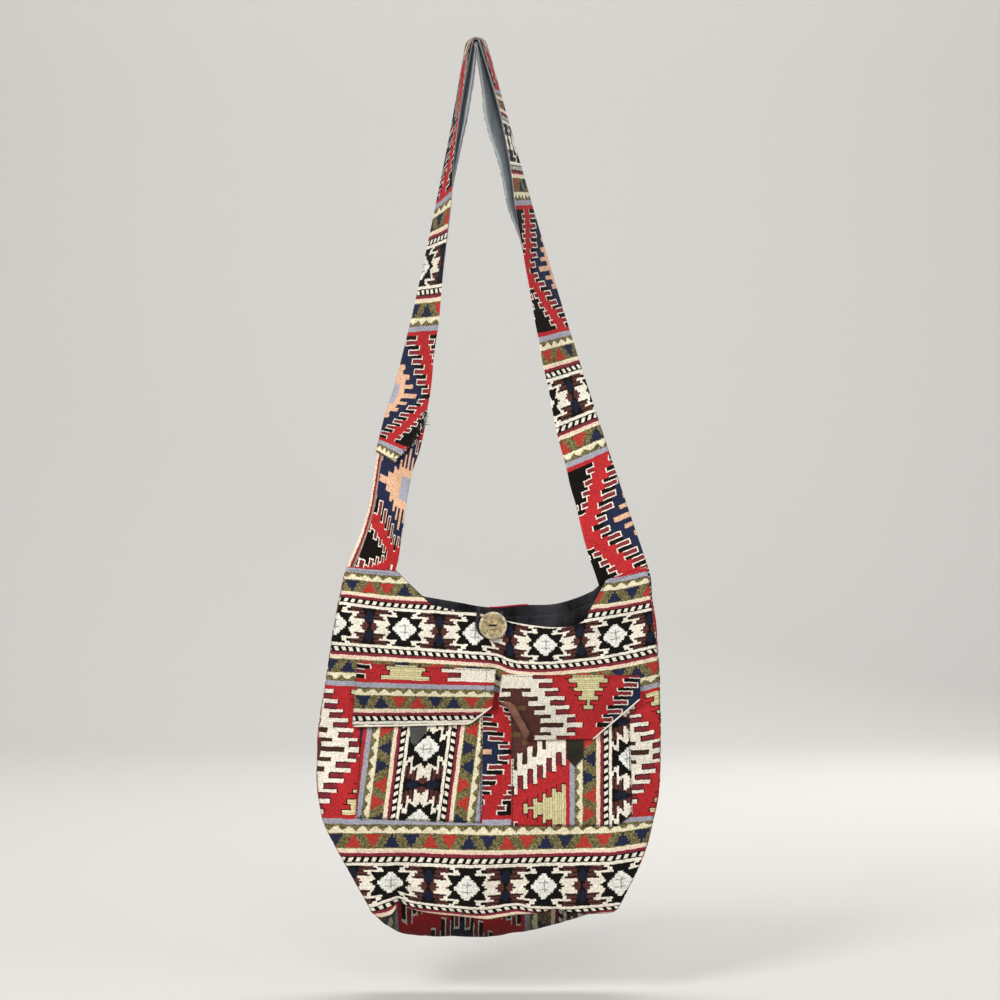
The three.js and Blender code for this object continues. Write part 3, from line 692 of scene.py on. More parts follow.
# %% Pleat and tuck
PLEAT_AT = 3
PLEAT_DEPTH = 7
PLEAT_WIDTH = 8
PLEAT_TOP = 66
PLEAT_BOTTOM = 150
TUCK_AT = -93
TUCK_DEPTH = 7
TUCK_WIDTH = 8
TUCK_TOP = (280, 322)
TUCK_FOOT = 345
TUCK_FADE = 10


def pleat(x, drop):
    if drop <= PLEAT_TOP or drop >= PLEAT_BOTTOM:
        return 0
    fade = math.sin(math.pi * (drop - PLEAT_TOP) / (PLEAT_BOTTOM - PLEAT_TOP))
    return PLEAT_DEPTH * fade * math.exp(-((x - PLEAT_AT) / PLEAT_WIDTH) ** 2)


def tuck(x, drop):
    """A valley above the tuck in the lower seam."""
    valley = TUCK_DEPTH * math.exp(-((x - TUCK_AT) / TUCK_WIDTH) ** 2)
    return valley * eased(drop, *TUCK_TOP) * eased(TUCK_FOOT - drop, 0, TUCK_FADE)


print("pleat", round(pleat(PLEAT_AT, 100), 1), "mm deep, tuck", round(tuck(TUCK_AT, 330), 1), "mm")

# %% [markdown]
# ## The strap as a path
# One strip of cloth folded lengthwise runs from the left peak over the hang point to the right peak. On the
# way up each arm turns edge on. The path gives, for every length along the strip, where the crease lies,
# which way is inward and how far the fold has turned.

# %% Strap path
STRAP_HALF = 50
HANG_RADIUS = 6
LEFT_TURNS = {
    "bow": [(0, 0), (0.05, 5), (0.1, 8), (0.15, 7.5), (0.22, 5), (0.5, 8), (0.8, 5), (1, 0)],
    "turn": [(0, 0), (0.1, 0.24), (0.3, 0.664), (0.5, 1.01), (0.6, 1.15), (0.69, 1.24), (0.784, 1.37),
             (0.865, 1.42), (0.93, 1.43), (1, 1.41)],
    "opening": [(0, 0.03), (0.72, 0.02), (0.8, 0.05), (0.86, 0.085), (0.93, 0.085), (1, 0.02)],
    "front": [(0, 46), (0.03, 44), (0.07, 40), (0.13, 37), (0.18, 39), (0.24, 47), (0.3, 50), (1, 50)],
    "back": [(0, 43), (0.13, 34), (0.3, 43), (0.5, 37), (0.62, 31), (0.71, 28), (0.78, 40), (0.86, 47),
             (1, 47)],
}
RIGHT_TURNS = {
    "bow": [(0, 0), (0.3, 4), (0.5, 5), (0.7, 4), (1, 0)],
    "turn": [(0, 0), (0.2, 0.4), (0.44, 0.82), (0.62, 1.115), (0.69, 1.2), (0.747, 1.31), (0.82, 1.4),
             (0.88, 1.44), (1, 1.41)],
    "opening": [(0, 0.03), (0.62, 0.03), (0.69, 0.11), (0.78, 0.16), (0.82, 0.24), (0.865, 0.27),
                (0.92, 0.15), (1, 0.02)],
    "front": [(0, 50), (1, 50)],
    "back": [(0, 47), (0.3, 43), (0.6, 38), (0.64, 39), (0.72, 46), (0.8, 47), (1, 47)],
}
STRAP_TUCK = 6
CREASE_SHARE = 0.12
FOLD_TOP = Vector((0, 0, -HANG_RADIUS))
FOLD_RADIUS = HANG_RADIUS + STRAP_FOLD


class Arm:
    """One arm of the strap, from its foot at a peak up to the bend."""

    def __init__(self, sign, side, turns):
        self.turns = turns
        self.foot = Vector((BODY_OFFSET + sign * (side["shoulder"] - STRAP_FOLD), 0, -STRAP_DROP))
        across = FOLD_TOP - self.foot
        reach = across.length
        self.lean = math.atan2(-sign * across.x, across.z) - math.asin(FOLD_RADIUS / reach)
        self.length = math.sqrt(reach ** 2 - FOLD_RADIUS ** 2)
        self.up = Vector((-sign * math.sin(self.lean), 0, math.cos(self.lean)))
        self.inward = Vector((-sign * math.cos(self.lean), 0, -math.sin(self.lean)))

    def frame(self, along):
        inside = clamp(along / self.length)
        turn, opening, front, back, bow = (
            through(self.turns[key], inside) for key in ("turn", "opening", "front", "back", "bow"))
        crease = self.foot + self.up * along + self.inward * bow
        crease.y = STRAP_HALF / 2 * math.sin(turn)
        return crease, self.inward, turn, opening, (front, back)


left_arm = Arm(-1, LEFT_SIDE, LEFT_TURNS)
right_arm = Arm(1, RIGHT_SIDE, RIGHT_TURNS)
BEND_ANGLE = math.pi - left_arm.lean - right_arm.lean
BEND_LENGTH = BEND_ANGLE * FOLD_RADIUS
STRAP_LENGTH = left_arm.length + BEND_LENGTH + right_arm.length


def strap_frame(along):
    if along <= left_arm.length:
        return left_arm.frame(along)
    if along >= left_arm.length + BEND_LENGTH:
        return right_arm.frame(STRAP_LENGTH - along)
    angle = math.pi - left_arm.lean - (along - left_arm.length) / FOLD_RADIUS
    outward = Vector((math.cos(angle), 0, math.sin(angle)))
    crease = FOLD_TOP + outward * FOLD_RADIUS
    _, _, turn, opening, halves = left_arm.frame(left_arm.length)
    crease.y = STRAP_HALF / 2 * math.sin(turn)
    return crease, -outward, turn, opening, halves


def strap_point(along, across, fold, front_extra=0.0, back_extra=0.0, gape=0.0):
    """across runs from -1 at the back free edge, through the crease, to 1 at the front one."""
    crease, inward, turn, opening, (front_half, back_half) = strap_frame(along)

    def direction(angle):
        return inward * math.cos(angle) + Vector((0, -math.sin(angle), 0))

    def outward(angle):
        return inward * -math.sin(angle) + Vector((0, -math.cos(angle), 0))

    share = (abs(across) - CREASE_SHARE) / (1 - CREASE_SHARE)
    if across > CREASE_SHARE:
        lift = outward(turn) * (fold + gape * share ** 2)
        return crease + direction(turn) * (share * (front_half + front_extra)) + lift
    if across < -CREASE_SHARE:
        back = turn - opening
        return crease + direction(back) * (share * (back_half + back_extra)) - outward(back) * fold
    over = (CREASE_SHARE - across) / (2 * CREASE_SHARE)
    around = lerp(turn + math.pi / 2, turn + math.pi * 1.5 - opening, over)
    return crease + direction(around) * fold


print("strap length", round(STRAP_LENGTH), "mm; bend", round(BEND_LENGTH), "mm")

# %% [markdown]
# ## A cut of cloth
# Every cloth piece starts as a flat grid, as the real one starts as a flat cut. Its UV map is written while
# it is still flat, then each vertex is moved to where the sewn cloth hangs. A Solidify modifier gives the
# cloth its thickness inwards, thinner at its pressed edges, and puts the lining's finish on the inner side.

# %% Cloth piece builder
PRESSED = 0.25


def new_object(name, cut):
    """The object of a finished bmesh, at the origin, with smooth faces."""
    for face in cut.faces:
        face.smooth = True
    mesh = bpy.data.meshes.new(name)
    cut.to_mesh(mesh)
    cut.free()
    made = bpy.data.objects.new(name, mesh)
    scene.collection.objects.link(made)
    return made


def cloth_piece(name, columns, rows, surface, pattern, thickness, finishes):
    """A grid of columns by rows; surface and pattern take two shares from 0 to 1."""
    cut = bmesh.new()
    bmesh.ops.create_grid(cut, x_segments=columns, y_segments=rows, size=0.5)
    weave = cut.loops.layers.uv.new("cloth")
    shares = {vert: (vert.co.x + 0.5, vert.co.y + 0.5) for vert in cut.verts}
    threads = {vert: pattern(*at) for vert, at in shares.items()}
    for face in cut.faces:
        for loop in face.loops:
            loop[weave].uv = threads[loop.vert]
    for vert, at in shares.items():
        vert.co = surface(*at) * MM
    return finish_cloth(name, cut, thickness, finishes)


def finish_cloth(name, cut, thickness, finishes):
    """Makes the object, which stands for the node of that name; the last finish is the inner side's."""
    area = sum(face.calc_area() for face in cut.faces)
    inner_verts = [i for i, vert in enumerate(cut.verts) if not vert.is_boundary]
    piece = new_object(name + "_cloth", cut)
    for finish in finishes:
        piece.data.materials.append(finish)
    depth = piece.modifiers.new("thickness", "SOLIDIFY")
    depth.thickness = thickness * MM
    depth.offset = -1
    depth.material_offset = len(finishes) - 1
    full = piece.vertex_groups.new(name="full")
    full.add(inner_verts, 1.0, "REPLACE")
    depth.vertex_group = "full"
    depth.thickness_vertex_group = PRESSED
    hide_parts(name)
    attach(piece, "root")
    print(name, len(piece.data.polygons), "faces,", round(area * 1e4, 1), "square centimetres")
    return piece


# %% [markdown]
# ## Front panel
# The front runs from the base seam up to the mouth, with a peak at each end for the strap. Its pattern
# droops: the bands hang lower in the middle, and a soft fold under the button shifts them by almost a
# centimetre. That is why its UVs follow the lines of the weave as they hang, not the flat grid.

# %% Mouth edges
LEFT_PEAK = (-99, 4)
RIGHT_PEAK = (113, 13)
FRONT_EDGE = [(-63, 38), (-34, 44.5), (-15, 46.5), (13, 54), (36, 58), (59, 60.3), (79, 59),
              (90, 54)]
BACK_EDGE = [(-72, 30.5), (-34, 37), (-5, 41.7), (28, 39.3), (59, 38.5), (83, 32.3), (100, 25)]


def broken_line(points, x):
    i = 1
    while i < len(points) - 1 and x > points[i][0]:
        i += 1
    (x0, y0), (x1, y1) = points[i - 1], points[i]
    return lerp(y0, y1, (x - x0) / (x1 - x0))


class Mouth:
    """The top edge of a panel: a straight peak at each end and a sagging edge between."""

    def __init__(self, edge):
        self.edge = [(share_at(x, drop), drop) for x, drop in edge]
        self.left = [(0, 0), (share_at(*LEFT_PEAK), LEFT_PEAK[1]), self.edge[0]]
        self.right = [self.edge[-1], (share_at(*RIGHT_PEAK), RIGHT_PEAK[1]), (1, 0)]

    def drop(self, share):
        if share < self.edge[0][0]:
            return broken_line(self.left, share)
        if share > self.edge[-1][0]:
            return broken_line(self.right, share)
        return through(self.edge, share)


front_mouth = Mouth(FRONT_EDGE)
back_mouth = Mouth(BACK_EDGE)


def seam_drop(share):
    return BODY_HEIGHT + SEAM_SAG * math.sin(math.pi * share)


def front_seam_drop(share):
    """The front's own lower seam, with a tuck on the left where the cloth was caught."""
    return through(FRONT_SEAM, lerp(-LEFT_SIDE["base"], RIGHT_SIDE["base"], share))


def panel_spot(share, up, mouth, seam):
    drop = lerp(seam(share), mouth.drop(share), up)
    return lerp(left_edge(drop), right_edge(drop), share), drop


print("front mouth hangs", round(front_mouth.drop(0.5), 1), "mm below the peaks")

# %% [markdown]
# The pattern map below works in the photograph's pixels, where one pixel is one millimetre: PHOTO_X and
# PHOTO_Y are the pixel of the body's middle line and of the peaks. Each row of WEAVE_ROWS follows one line
# of the weave across the bag as it hangs, and a point between two rows takes its place in the cloth from
# them.

# %% Front panel
PHOTO_X = 494
PHOTO_Y = 567
WEAVE_ROWS = [
    (-59.5, [(346, 570), (396, 574), (608, 581), (648, 574)]),
    (-20.7, [(338, 603), (389, 609), (452, 613), (490, 616), (510, 621), (530, 625), (558, 627), (579, 622),
             (629, 614), (655, 609)]),
    (20.7, [(335, 644), (402, 648), (439, 650.5), (482, 653.5), (494, 654.5), (501, 656.5), (512, 661),
            (540, 663), (570, 661), (609, 656.5), (655, 647)]),
    (59.5, [(330, 683), (490, 688), (512, 694), (560, 695), (640, 689), (658, 685)]),
    (126.5, [(320, 748.5), (490, 750), (640, 752), (660, 750)]),
    (193.5, [(325, 820), (500, 820), (655, 818)]),
    (204, [(333, 832), (402, 831), (505, 832.5), (608, 831), (652, 826)]),
    (232.3, [(347, 863), (402, 862), (471, 864), (540, 862), (608, 861), (643, 857)]),
    (253, [(350, 880), (389, 881), (467, 887), (544, 884), (616, 882), (640, 877)]),
    (273.7, [(370, 905), (380, 902), (390, 898), (398, 896), (406, 899), (422, 902), (450, 905), (480, 907),
             (500, 904.6), (515, 902.6), (531, 905.7), (562, 906.7), (593, 905), (614, 903)]),
    (290, [(370, 917), (384, 917), (392, 914), (398, 907), (406, 910), (422, 913), (450, 916), (480, 919),
           (500, 917), (520, 914), (562, 917), (614, 914)]),
]
DIAMOND_X = [(633, 474.5), (751, 472.5), (886, 467)]
DIAMOND_SPACING = [(633, 70.3), (751, 76), (886, 76.5)]


def up_the_cloth(lines, py):
    """The place in the cloth at height py; each line is a place in the cloth and its height."""
    i = 0
    while i < len(lines) - 2 and py > lines[i + 1][1]:
        i += 1
    (v0, y0), (v1, y1) = lines[i], lines[i + 1]
    return lerp(v0, v1, (py - y0) / (y1 - y0))


def front_pattern(x, drop):
    px = PHOTO_X + x
    py = PHOTO_Y + drop
    v = up_the_cloth([(mark, through(points, px)) for mark, points in WEAVE_ROWS], py)
    u = (px - through(DIAMOND_X, py)) * DIAMONDS_APART / through(DIAMOND_SPACING, py)
    return (u, v)


def front_surface(share, up):
    x, drop = panel_spot(share, up, front_mouth, front_seam_drop)
    return place(x, front_y(x, drop) + pleat(x, drop) + tuck(x, drop), drop)


front_panel = cloth_piece(
    "front_panel", 150, 140, front_surface,
    lambda share, up: front_pattern(*panel_spot(share, up, front_mouth, front_seam_drop)),
    CLOTH, [kilim, lining_cloth])

# %% [markdown]
# ## Back panel
# The back is the same cut without pockets, turned round. Its middle swells less, because the bag is carried
# against the hip, and it keeps longer folds.

# %% Back panel
BACK_MIDDLE = 8
BACK_DIAMONDS = 65
BACK_DROOP = 6


def back_surface(share, up):
    x, drop = panel_spot(1 - share, up, back_mouth, seam_drop)
    return place(x, back_y(x, drop), drop)


def back_pattern(share, up):
    x, drop = panel_spot(1 - share, up, back_mouth, seam_drop)
    return (BACK_MIDDLE - x, drop - BACK_DIAMONDS - BACK_DROOP * math.sin(math.pi * share))


back_panel = cloth_piece("back_panel", 110, 100, back_surface, back_pattern,
                         CLOTH, [kilim, lining_cloth])

# %% [markdown]
# ## Side and base strip
# A long strip joins front and back: up the left side, round the base and up the right side. On the real bag
# it is cut across the pattern, so its bands run from front to back. The base sags below the seam, more on
# the left.

# %% Gusset path
LEFT_BULGE = 1
RIGHT_BULGE_HIGH = 2.5
RIGHT_BULGE_LOW = 1
BASE_SAG = [(0, 2), (0.04, 14), (0.08, 21), (0.12, 26), (0.16, 27.5), (0.24, 27), (0.32, 26), (0.48, 24),
            (0.59, 21), (0.69, 17), (0.81, 10.5), (0.88, 6.5), (0.95, 4), (1, 2)]
GUSSET_TOP = 1 - (STRAP_TUCK + GAP) / BODY_HEIGHT
SIDE_STEPS = 70
BASE_STEPS = 80


def rim_stop(share, up):
    x, drop = panel_spot(share, up, front_mouth, seam_drop)
    front_x, front_drop = panel_spot(share, up, front_mouth, front_seam_drop)
    if 0 < share < 1:
        bulge = through(BASE_SAG, share)
    elif share == 0:
        bulge = LEFT_BULGE
    else:
        bulge = lerp(RIGHT_BULGE_HIGH, RIGHT_BULGE_LOW, eased(drop, 40, 120))
    return {"x": x, "drop": drop, "front_x": front_x, "front_drop": front_drop, "bulge": bulge}


side_ups = [GUSSET_TOP * i / SIDE_STEPS for i in range(SIDE_STEPS, -1, -1)]
rim = [rim_stop(0, up) for up in side_ups]
rim += [rim_stop(i / BASE_STEPS, 0) for i in range(1, BASE_STEPS)]
rim += [rim_stop(1, up) for up in reversed(side_ups)]
for i, stop in enumerate(rim):
    before = rim[max(i - 1, 0)]
    after = rim[min(i + 1, len(rim) - 1)]
    run_x = after["x"] - before["x"]
    run_z = before["drop"] - after["drop"]
    length = math.hypot(run_x, run_z)
    stop["out_x"] = run_z / length
    stop["out_z"] = -run_x / length
    step = math.hypot(stop["x"] - before["x"], stop["drop"] - before["drop"])
    stop["run"] = step + before.get("run", 0)
base_middle = rim[SIDE_STEPS + BASE_STEPS // 2]["run"]
print("gusset length", round(rim[-1]["run"]), "mm")

# %% [markdown]
# The path is a row of stops, so a point of the strip is mixed from the two stops beside it. Across the
# strip the cloth bulges outwards, with ripples that die away at both seams. The cut's red field lies across
# the base.

# %% Gusset
BASE_FIELD_X = 462
BASE_FIELD_AT = BASE_FIELD_X - PHOTO_X
FRONT_SEAM_THREAD = 57
BASE_SEAM_U = LOZENGE_B + FRONT_SEAM_THREAD
BASE_WIDTH = 34
BASE_STRETCH = 1.04
HUMP_POWER = 1.8
RIPPLE_POWER = 1.5


def rim_value(along, key):
    spot = along * (len(rim) - 1)
    i = min(int(spot), len(rim) - 2)
    return lerp(rim[i][key], rim[i + 1][key], spot - i)


def gusset_point(across, along, inset=0.0, room=0.0):
    """across runs from 0 at the back seam to 1 at the front one, along from the left peak to the right."""
    to_front = eased(across, 0.55, 1)
    x = lerp(rim_value(along, "x"), rim_value(along, "front_x"), to_front)
    drop = lerp(rim_value(along, "drop"), rim_value(along, "front_drop"), to_front)
    run = rim_value(along, "run")
    hump = max(math.sin(math.pi * across), 0)
    ripple = noise.noise(Vector((across * 2.1, run / 24, 3.7))) * 1.6
    ripple += noise.noise(Vector((across * 4.0, run / 9, 1.2))) * 0.6
    out = GAP - inset + rim_value(along, "bulge") * hump ** HUMP_POWER + ripple * hump ** RIPPLE_POWER
    y = (edge_depth(drop) - room) * math.cos(math.pi * across)
    return place(x + rim_value(along, "out_x") * out, y, drop - rim_value(along, "out_z") * out)


def gusset_pattern(across, along):
    along_base = rim_value(along, "run") - base_middle - BASE_FIELD_AT
    return (BASE_SEAM_U - (1 - across) * BASE_WIDTH, along_base * BASE_STRETCH + REPEAT_UP / 2)


gusset = cloth_piece(
    "gusset", 30, 220,
    lambda s, t: gusset_point(1 - s, t),
    lambda s, t: gusset_pattern(1 - s, t),
    CLOTH, [side_kilim_painted_shade, lining_cloth])

# %% [markdown]
# ## Linings
# Inside hangs a bag of plain dark cotton. Little of it shows at the mouth, but from above it is what the
# eye meets, so it is a real second layer, a little slack behind the cloth.

# %% Linings
LINING_GAP = 0.6
LINING_SLACK = 2.2
LINING_SHARES = (0.02, 0.98)
LINING_UPS = (0.04, 0.968)
WRINKLE = 7.5
FACING_RIDGE = 2.4
FACING_AT = 0.962
FACING_WIDTH = 0.014


def lining_point(surface, share, up):
    """A spot behind a panel, with the hanging wrinkles and the ridge of the facing along the mouth."""
    step = 1e-3
    s = lerp(*LINING_SHARES, share)
    t = lerp(*LINING_UPS, up)
    along_share = surface(s + step, t) - surface(s - step, t)
    along_up = surface(s, t + step) - surface(s, t - step)
    inward = -along_share.cross(along_up).normalized()
    wrinkle = WRINKLE * max(0, noise.noise(Vector((share * 24, t * 9, 2.8))))
    ridge = FACING_RIDGE * math.exp(-((up - FACING_AT) / FACING_WIDTH) ** 2)
    slack = LINING_SLACK * math.sin(math.pi * share) + wrinkle + ridge
    return surface(s, t) + inward * (CLOTH + LINING_GAP + slack)


def plain_map(width, height):
    return lambda s, t: (s * width, t * height)


def panel_lining(name, surface):
    return cloth_piece(name, 90, 100, lambda s, t: lining_point(surface, s, t),
                       plain_map(320, 330), LINING, [lining_cloth])


front_lining = panel_lining("front_lining", front_surface)
back_lining = panel_lining("back_lining", back_surface)

LINING_ROOM = 2 * CLOTH + LINING + LINING_GAP + GAP
LINING_END = 0.075
LINING_INSET = CLOTH + LINING_GAP + 0.5
gusset_lining = cloth_piece(
    "gusset_lining", 16, 160,
    lambda s, t: gusset_point(1 - s, lerp(LINING_END, 1 - LINING_END, t), LINING_INSET, LINING_ROOM),
    plain_map(70, 800), LINING, [lining_cloth])

# %% [markdown]
# ## Strap pieces
# The strap is a long strip, pieced near the left peak from a short one that is cut sideways from the same
# cloth. The long strip's hem lies over the short one. Both are folded lengthwise with the crease on the
# outer side, and the slate lining shows near the top, where the fold gapes.

# %% Strap cover
SPLICE = 119
SPLICE_LAP = 35
SPLICE_NARROWING = 20
SPLICE_GAPE = 3
LAP_GAP = 0.6
HEM = 3
HEM_SLANT = 7
LAP_END = SPLICE + SPLICE_LAP
LAP_FADE = 33
COVER_END = STRAP_LENGTH + STRAP_TUCK
STRAP_TOP = left_arm.length + BEND_LENGTH / 2
WAVE = 2.0
WAVE_FREE = 30
BEND_FREE = 40


def strap_wave(along, across):
    """Small unevenness of a strip that has been worn, none at the sewn ends."""
    ends = eased(along, 0, WAVE_FREE) * eased(STRAP_LENGTH - along, 0, WAVE_FREE)
    bend = 1 - math.exp(-((along - STRAP_TOP) / BEND_FREE) ** 2)
    return ends * bend * abs(across) * noise.noise(Vector((along / 34, across * 1.3, 9.2))) * WAVE


def cover_point(across, along):
    lap = 1 - eased(along, LAP_END + CLOTH, LAP_END + LAP_FADE)
    hem = 1 - eased(along, SPLICE, LAP_END)
    slanted = along - HEM_SLANT * max(0, across) * hem
    fold = STRAP_FOLD + (CLOTH + LAP_GAP) * lap
    wave = strap_wave(along, across)
    return strap_point(slanted, across, fold, wave - SPLICE_NARROWING * hem, wave, SPLICE_GAPE * hem)


print("cover runs", round(COVER_END - SPLICE), "mm")

# %% [markdown]
# The strap's pattern is placed like the front's, by its lines in the picture. PHOTO_MIDDLE and HANG_Y are
# the pixel of the hang point. Each row of LEFT_ARM_ROWS is a place in the cloth, its height on the left arm
# and how far it tilts across the strip; on the right arm the rows lie evenly apart. The crease tables say
# which thread lies in the fold.

# %% Strap cover pattern
PHOTO_MIDDLE = 476
HANG_Y = 35
LEFT_ARM_ROWS = [
    (-59.5, 199, -10),
    (-20.7, 242.4, -4),
    (20.7, 285.5, 0),
    (59.5, 327.4, 0),
    (126.5, 395.5, 3),
    (193.5, 446, 13),
    (204, 455, 13),
]
LEFT_CREASE = [(199, 20), (330, 14), (390, -4), (410, 4), (437, 14)]
RIGHT_CREASE = [(200, 8), (270, 8), (330, 21), (395, 34), (470, 23), (560, 20)]
RIGHT_MOTIF_Y = 389.5
RIGHT_ROW_TILT = 5
RIGHT_TILTED = (340, 460)
RIGHT_STRETCH = 1.014
FLARE = (330, 390)
LEFT_HALVES = (45, 66)
RIGHT_HALVES = (64, 54)
OVER_THE_TOP = (STRAP_TOP - 10, STRAP_TOP + 90)


def cover_pattern(across, along):
    to_right = eased(along, *OVER_THE_TOP)
    py = HANG_Y - cover_point(abs(across), along).z
    flare = eased(py, *FLARE)
    crease_u = LOZENGE_B + lerp(through(LEFT_CREASE, py), through(RIGHT_CREASE, py), to_right)
    half = lerp(lerp(*LEFT_HALVES, flare), lerp(*RIGHT_HALVES, flare), to_right)
    left_lines = [(mark, middle + tilt * (abs(across) - 0.5)) for mark, middle, tilt in LEFT_ARM_ROWS]
    below = HANG_Y - strap_frame(along)[0].z - RIGHT_MOTIF_Y
    tilt = RIGHT_ROW_TILT * abs(across) * eased(py, *RIGHT_TILTED)
    right_v = tilt - below * RIGHT_STRETCH - 2 * REPEAT_UP
    return (crease_u + half * across, lerp(up_the_cloth(left_lines, py), right_v, to_right))


def between_rows(low, high):
    return lambda t: lerp(low, high, t)


cover_row = between_rows(SPLICE, COVER_END)
strap_cover = cloth_piece(
    "strap_cover", 44, 420,
    lambda s, t: cover_point(s * 2 - 1, cover_row(t)),
    lambda s, t: cover_pattern(s * 2 - 1, cover_row(t)),
    CLOTH, [strap_kilim_painted_light, slate_cloth])

# %% [markdown]
# The short piece shows one peach lozenge, drawn close and leaning, because the strip narrows and twists
# there. The lozenge's middle is given as a pixel, and the cloth further away from it is squeezed more and
# more. A narrow band of cream runs along the crease.

# %% Lower left strap piece
LOWER_LOZENGE = (404, 489)
LOWER_LEAN = 0.17
LOWER_SHEAR = 0.48
LOWER_STRETCH = 0.95
LOWER_SQUEEZE = 2.5
LOWER_REACH = 75
CREASE_BAND = 0.2
CREASE_WIDTH = 7
lower_row = between_rows(-STRAP_TUCK, LAP_END)


def lower_pattern(across, along):
    spot = strap_point(along, abs(across), STRAP_FOLD)
    right = PHOTO_MIDDLE + spot.x - LOWER_LOZENGE[0]
    down = HANG_Y - spot.z - LOWER_LOZENGE[1]
    u = LOZENGE_B + (down - LOWER_SHEAR * right) * LOWER_STRETCH
    if abs(across) < CREASE_BAND:
        return (u, CREAM_EDGE - CREASE_WIDTH * abs(across) / CREASE_BAND)
    v = (right + LOWER_LEAN * down) * LOWER_SQUEEZE
    return (u, REPEAT_UP / 2 + v / math.hypot(1, v / LOWER_REACH))


strap_lower_left = cloth_piece(
    "strap_lower_left", 44, 90,
    lambda s, t: strap_point(lower_row(t), s * 2 - 1, STRAP_FOLD),
    lambda s, t: lower_pattern(s * 2 - 1, lower_row(t)),
    CLOTH, [strap_kilim_painted_light, slate_cloth])

# %% [markdown]
# The slate lining runs the whole length inside the fold, a hem narrower than the cover.

# %% Strap lining
INNER_FOLD = STRAP_FOLD - CLOTH - LINING_GAP
inner_row = between_rows(HEM - STRAP_TUCK, COVER_END - HEM)
LINING_TURN = 1.5
strap_lining = cloth_piece(
    "strap_lining", 30, 420,
    lambda s, t: strap_point(inner_row(t), s * 2 - 1, INNER_FOLD, -HEM, LINING_TURN),
    plain_map(96, 1100), LINING, [slate_cloth])

# %% [markdown]
# ## Pockets
# Two patch pockets lie on the front, each cut sideways from the cloth so that the diamonds run up and down,
# and each has a flap cut from another place. A pocket swells a little in the middle and is flat along its
# three seams.

# %% Pocket outline
POUCH_SWELL = 3.2
POUCH_SIZE = (118, 125)
PUCKER = 0.5
PUCKER_SIZE = 7
HEM_CURL = 1.1
HEM_CURL_REACH = 1.2
SQUARE = {"run": 1, "rise": 0}


def corners(top_left, top_right, low_right, low_left):
    return {"top_left": top_left, "top_right": top_right, "low_right": low_right, "low_left": low_left}


def outline(shape, left_cut, right_cut, u, v):
    """A four-cornered cut that may have slanted lower corners: v runs from 0 at the top to 1."""
    cut = left_cut["rise"] * max(0, 1 - u / left_cut["run"])
    cut += right_cut["rise"] * max(0, 1 - (1 - u) / right_cut["run"])
    top_x = lerp(shape["top_left"][0], shape["top_right"][0], u)
    low_x = lerp(shape["low_left"][0], shape["low_right"][0], u)
    top_drop = lerp(shape["top_left"][1], shape["top_right"][1], u)
    low_drop = lerp(shape["low_left"][1], shape["low_right"][1], u) - cut
    return lerp(top_x, low_x, v), lerp(top_drop, low_drop, v)


def pouch_stand(shape, x, drop):
    top = (shape["top_left"][1] + shape["top_right"][1]) / 2
    bottom = (shape["low_left"][1] + shape["low_right"][1]) / 2
    v = clamp((drop - top) / (bottom - top))
    left = lerp(shape["top_left"][0], shape["low_left"][0], v)
    right = lerp(shape["top_right"][0], shape["low_right"][0], v)
    u = clamp((x - left) / (right - left))
    return GAP + POUCH_SWELL * math.sin(math.pi * u) * math.sin(math.pi * (0.1 + 0.9 * v)) ** 0.8


def turned_edge(u, up, width, height):
    """How far a folded hem curls back near the free edges of a cut of that size."""
    near = min(u * width, (1 - u) * width, up * height)
    return HEM_CURL * math.exp(-near / HEM_CURL_REACH)


def pouch_surface(shape, cut):
    def surface(u, up):
        x, drop = outline(shape, SQUARE, cut, u, 1 - up)
        pucker = PUCKER * noise.noise(Vector((x / PUCKER_SIZE, drop / PUCKER_SIZE, 4.4)))
        pucker *= eased(min(u, 1 - u, up), 0.02, 0.1)
        stand = pouch_stand(shape, x, drop) + CLOTH - min(turned_edge(u, up, *POUCH_SIZE), CLOTH * 0.7)
        return place(x, front_y(x, drop) - stand - pucker, drop)
    return surface


def pouch_piece(name, shape, cut, pattern):
    def threads(u, up):
        x, drop = outline(shape, SQUARE, cut, u, 1 - up)
        return pattern(PHOTO_X + x, PHOTO_Y + drop)

    return cloth_piece(name, 60, 60, pouch_surface(shape, cut), threads, CLOTH, [kilim, lining_cloth])


print("a pocket swells", POUCH_SWELL, "mm")

# %% [markdown]
# Each pocket is given by its four corners. Its pattern is placed by one motif: the pixel of the motif's
# middle in the photograph, how far apart the diamonds are there, and how much the rows lean.

# %% Pouches
LEFT_POUCH = corners((-132, 131), (-11, 129), (-12, 254), (-138, 250))
RIGHT_POUCH = corners((17, 136), (135, 135), (138, 258), (17, 257))
POUCH_CUT = {"run": 0.13, "rise": 12}
LEFT_DIAMOND = (427.2, 746.5)
LEFT_APART = 72.5
LEFT_LEAN = 0.128
LEFT_LEAN_FROM = 748
RIGHT_FIELD = (506, 733)
RIGHT_APART = 73
RIGHT_WIDENING = 1.02


def left_pouch_pattern(px, py):
    u = (py - LEFT_DIAMOND[1]) * DIAMONDS_APART / LEFT_APART
    return (u, px - LEFT_DIAMOND[0] + (py - LEFT_LEAN_FROM) * LEFT_LEAN)


def right_pouch_pattern(px, py):
    u = LOZENGE_AT + (py - RIGHT_FIELD[1]) * DIAMONDS_APART / RIGHT_APART
    return (u, REPEAT_UP / 2 + (px - RIGHT_FIELD[0]) * RIGHT_WIDENING)


left_pouch = pouch_piece("left_pouch", LEFT_POUCH, SQUARE, left_pouch_pattern)
right_pouch = pouch_piece("right_pouch", RIGHT_POUCH, POUCH_CUT, right_pouch_pattern)

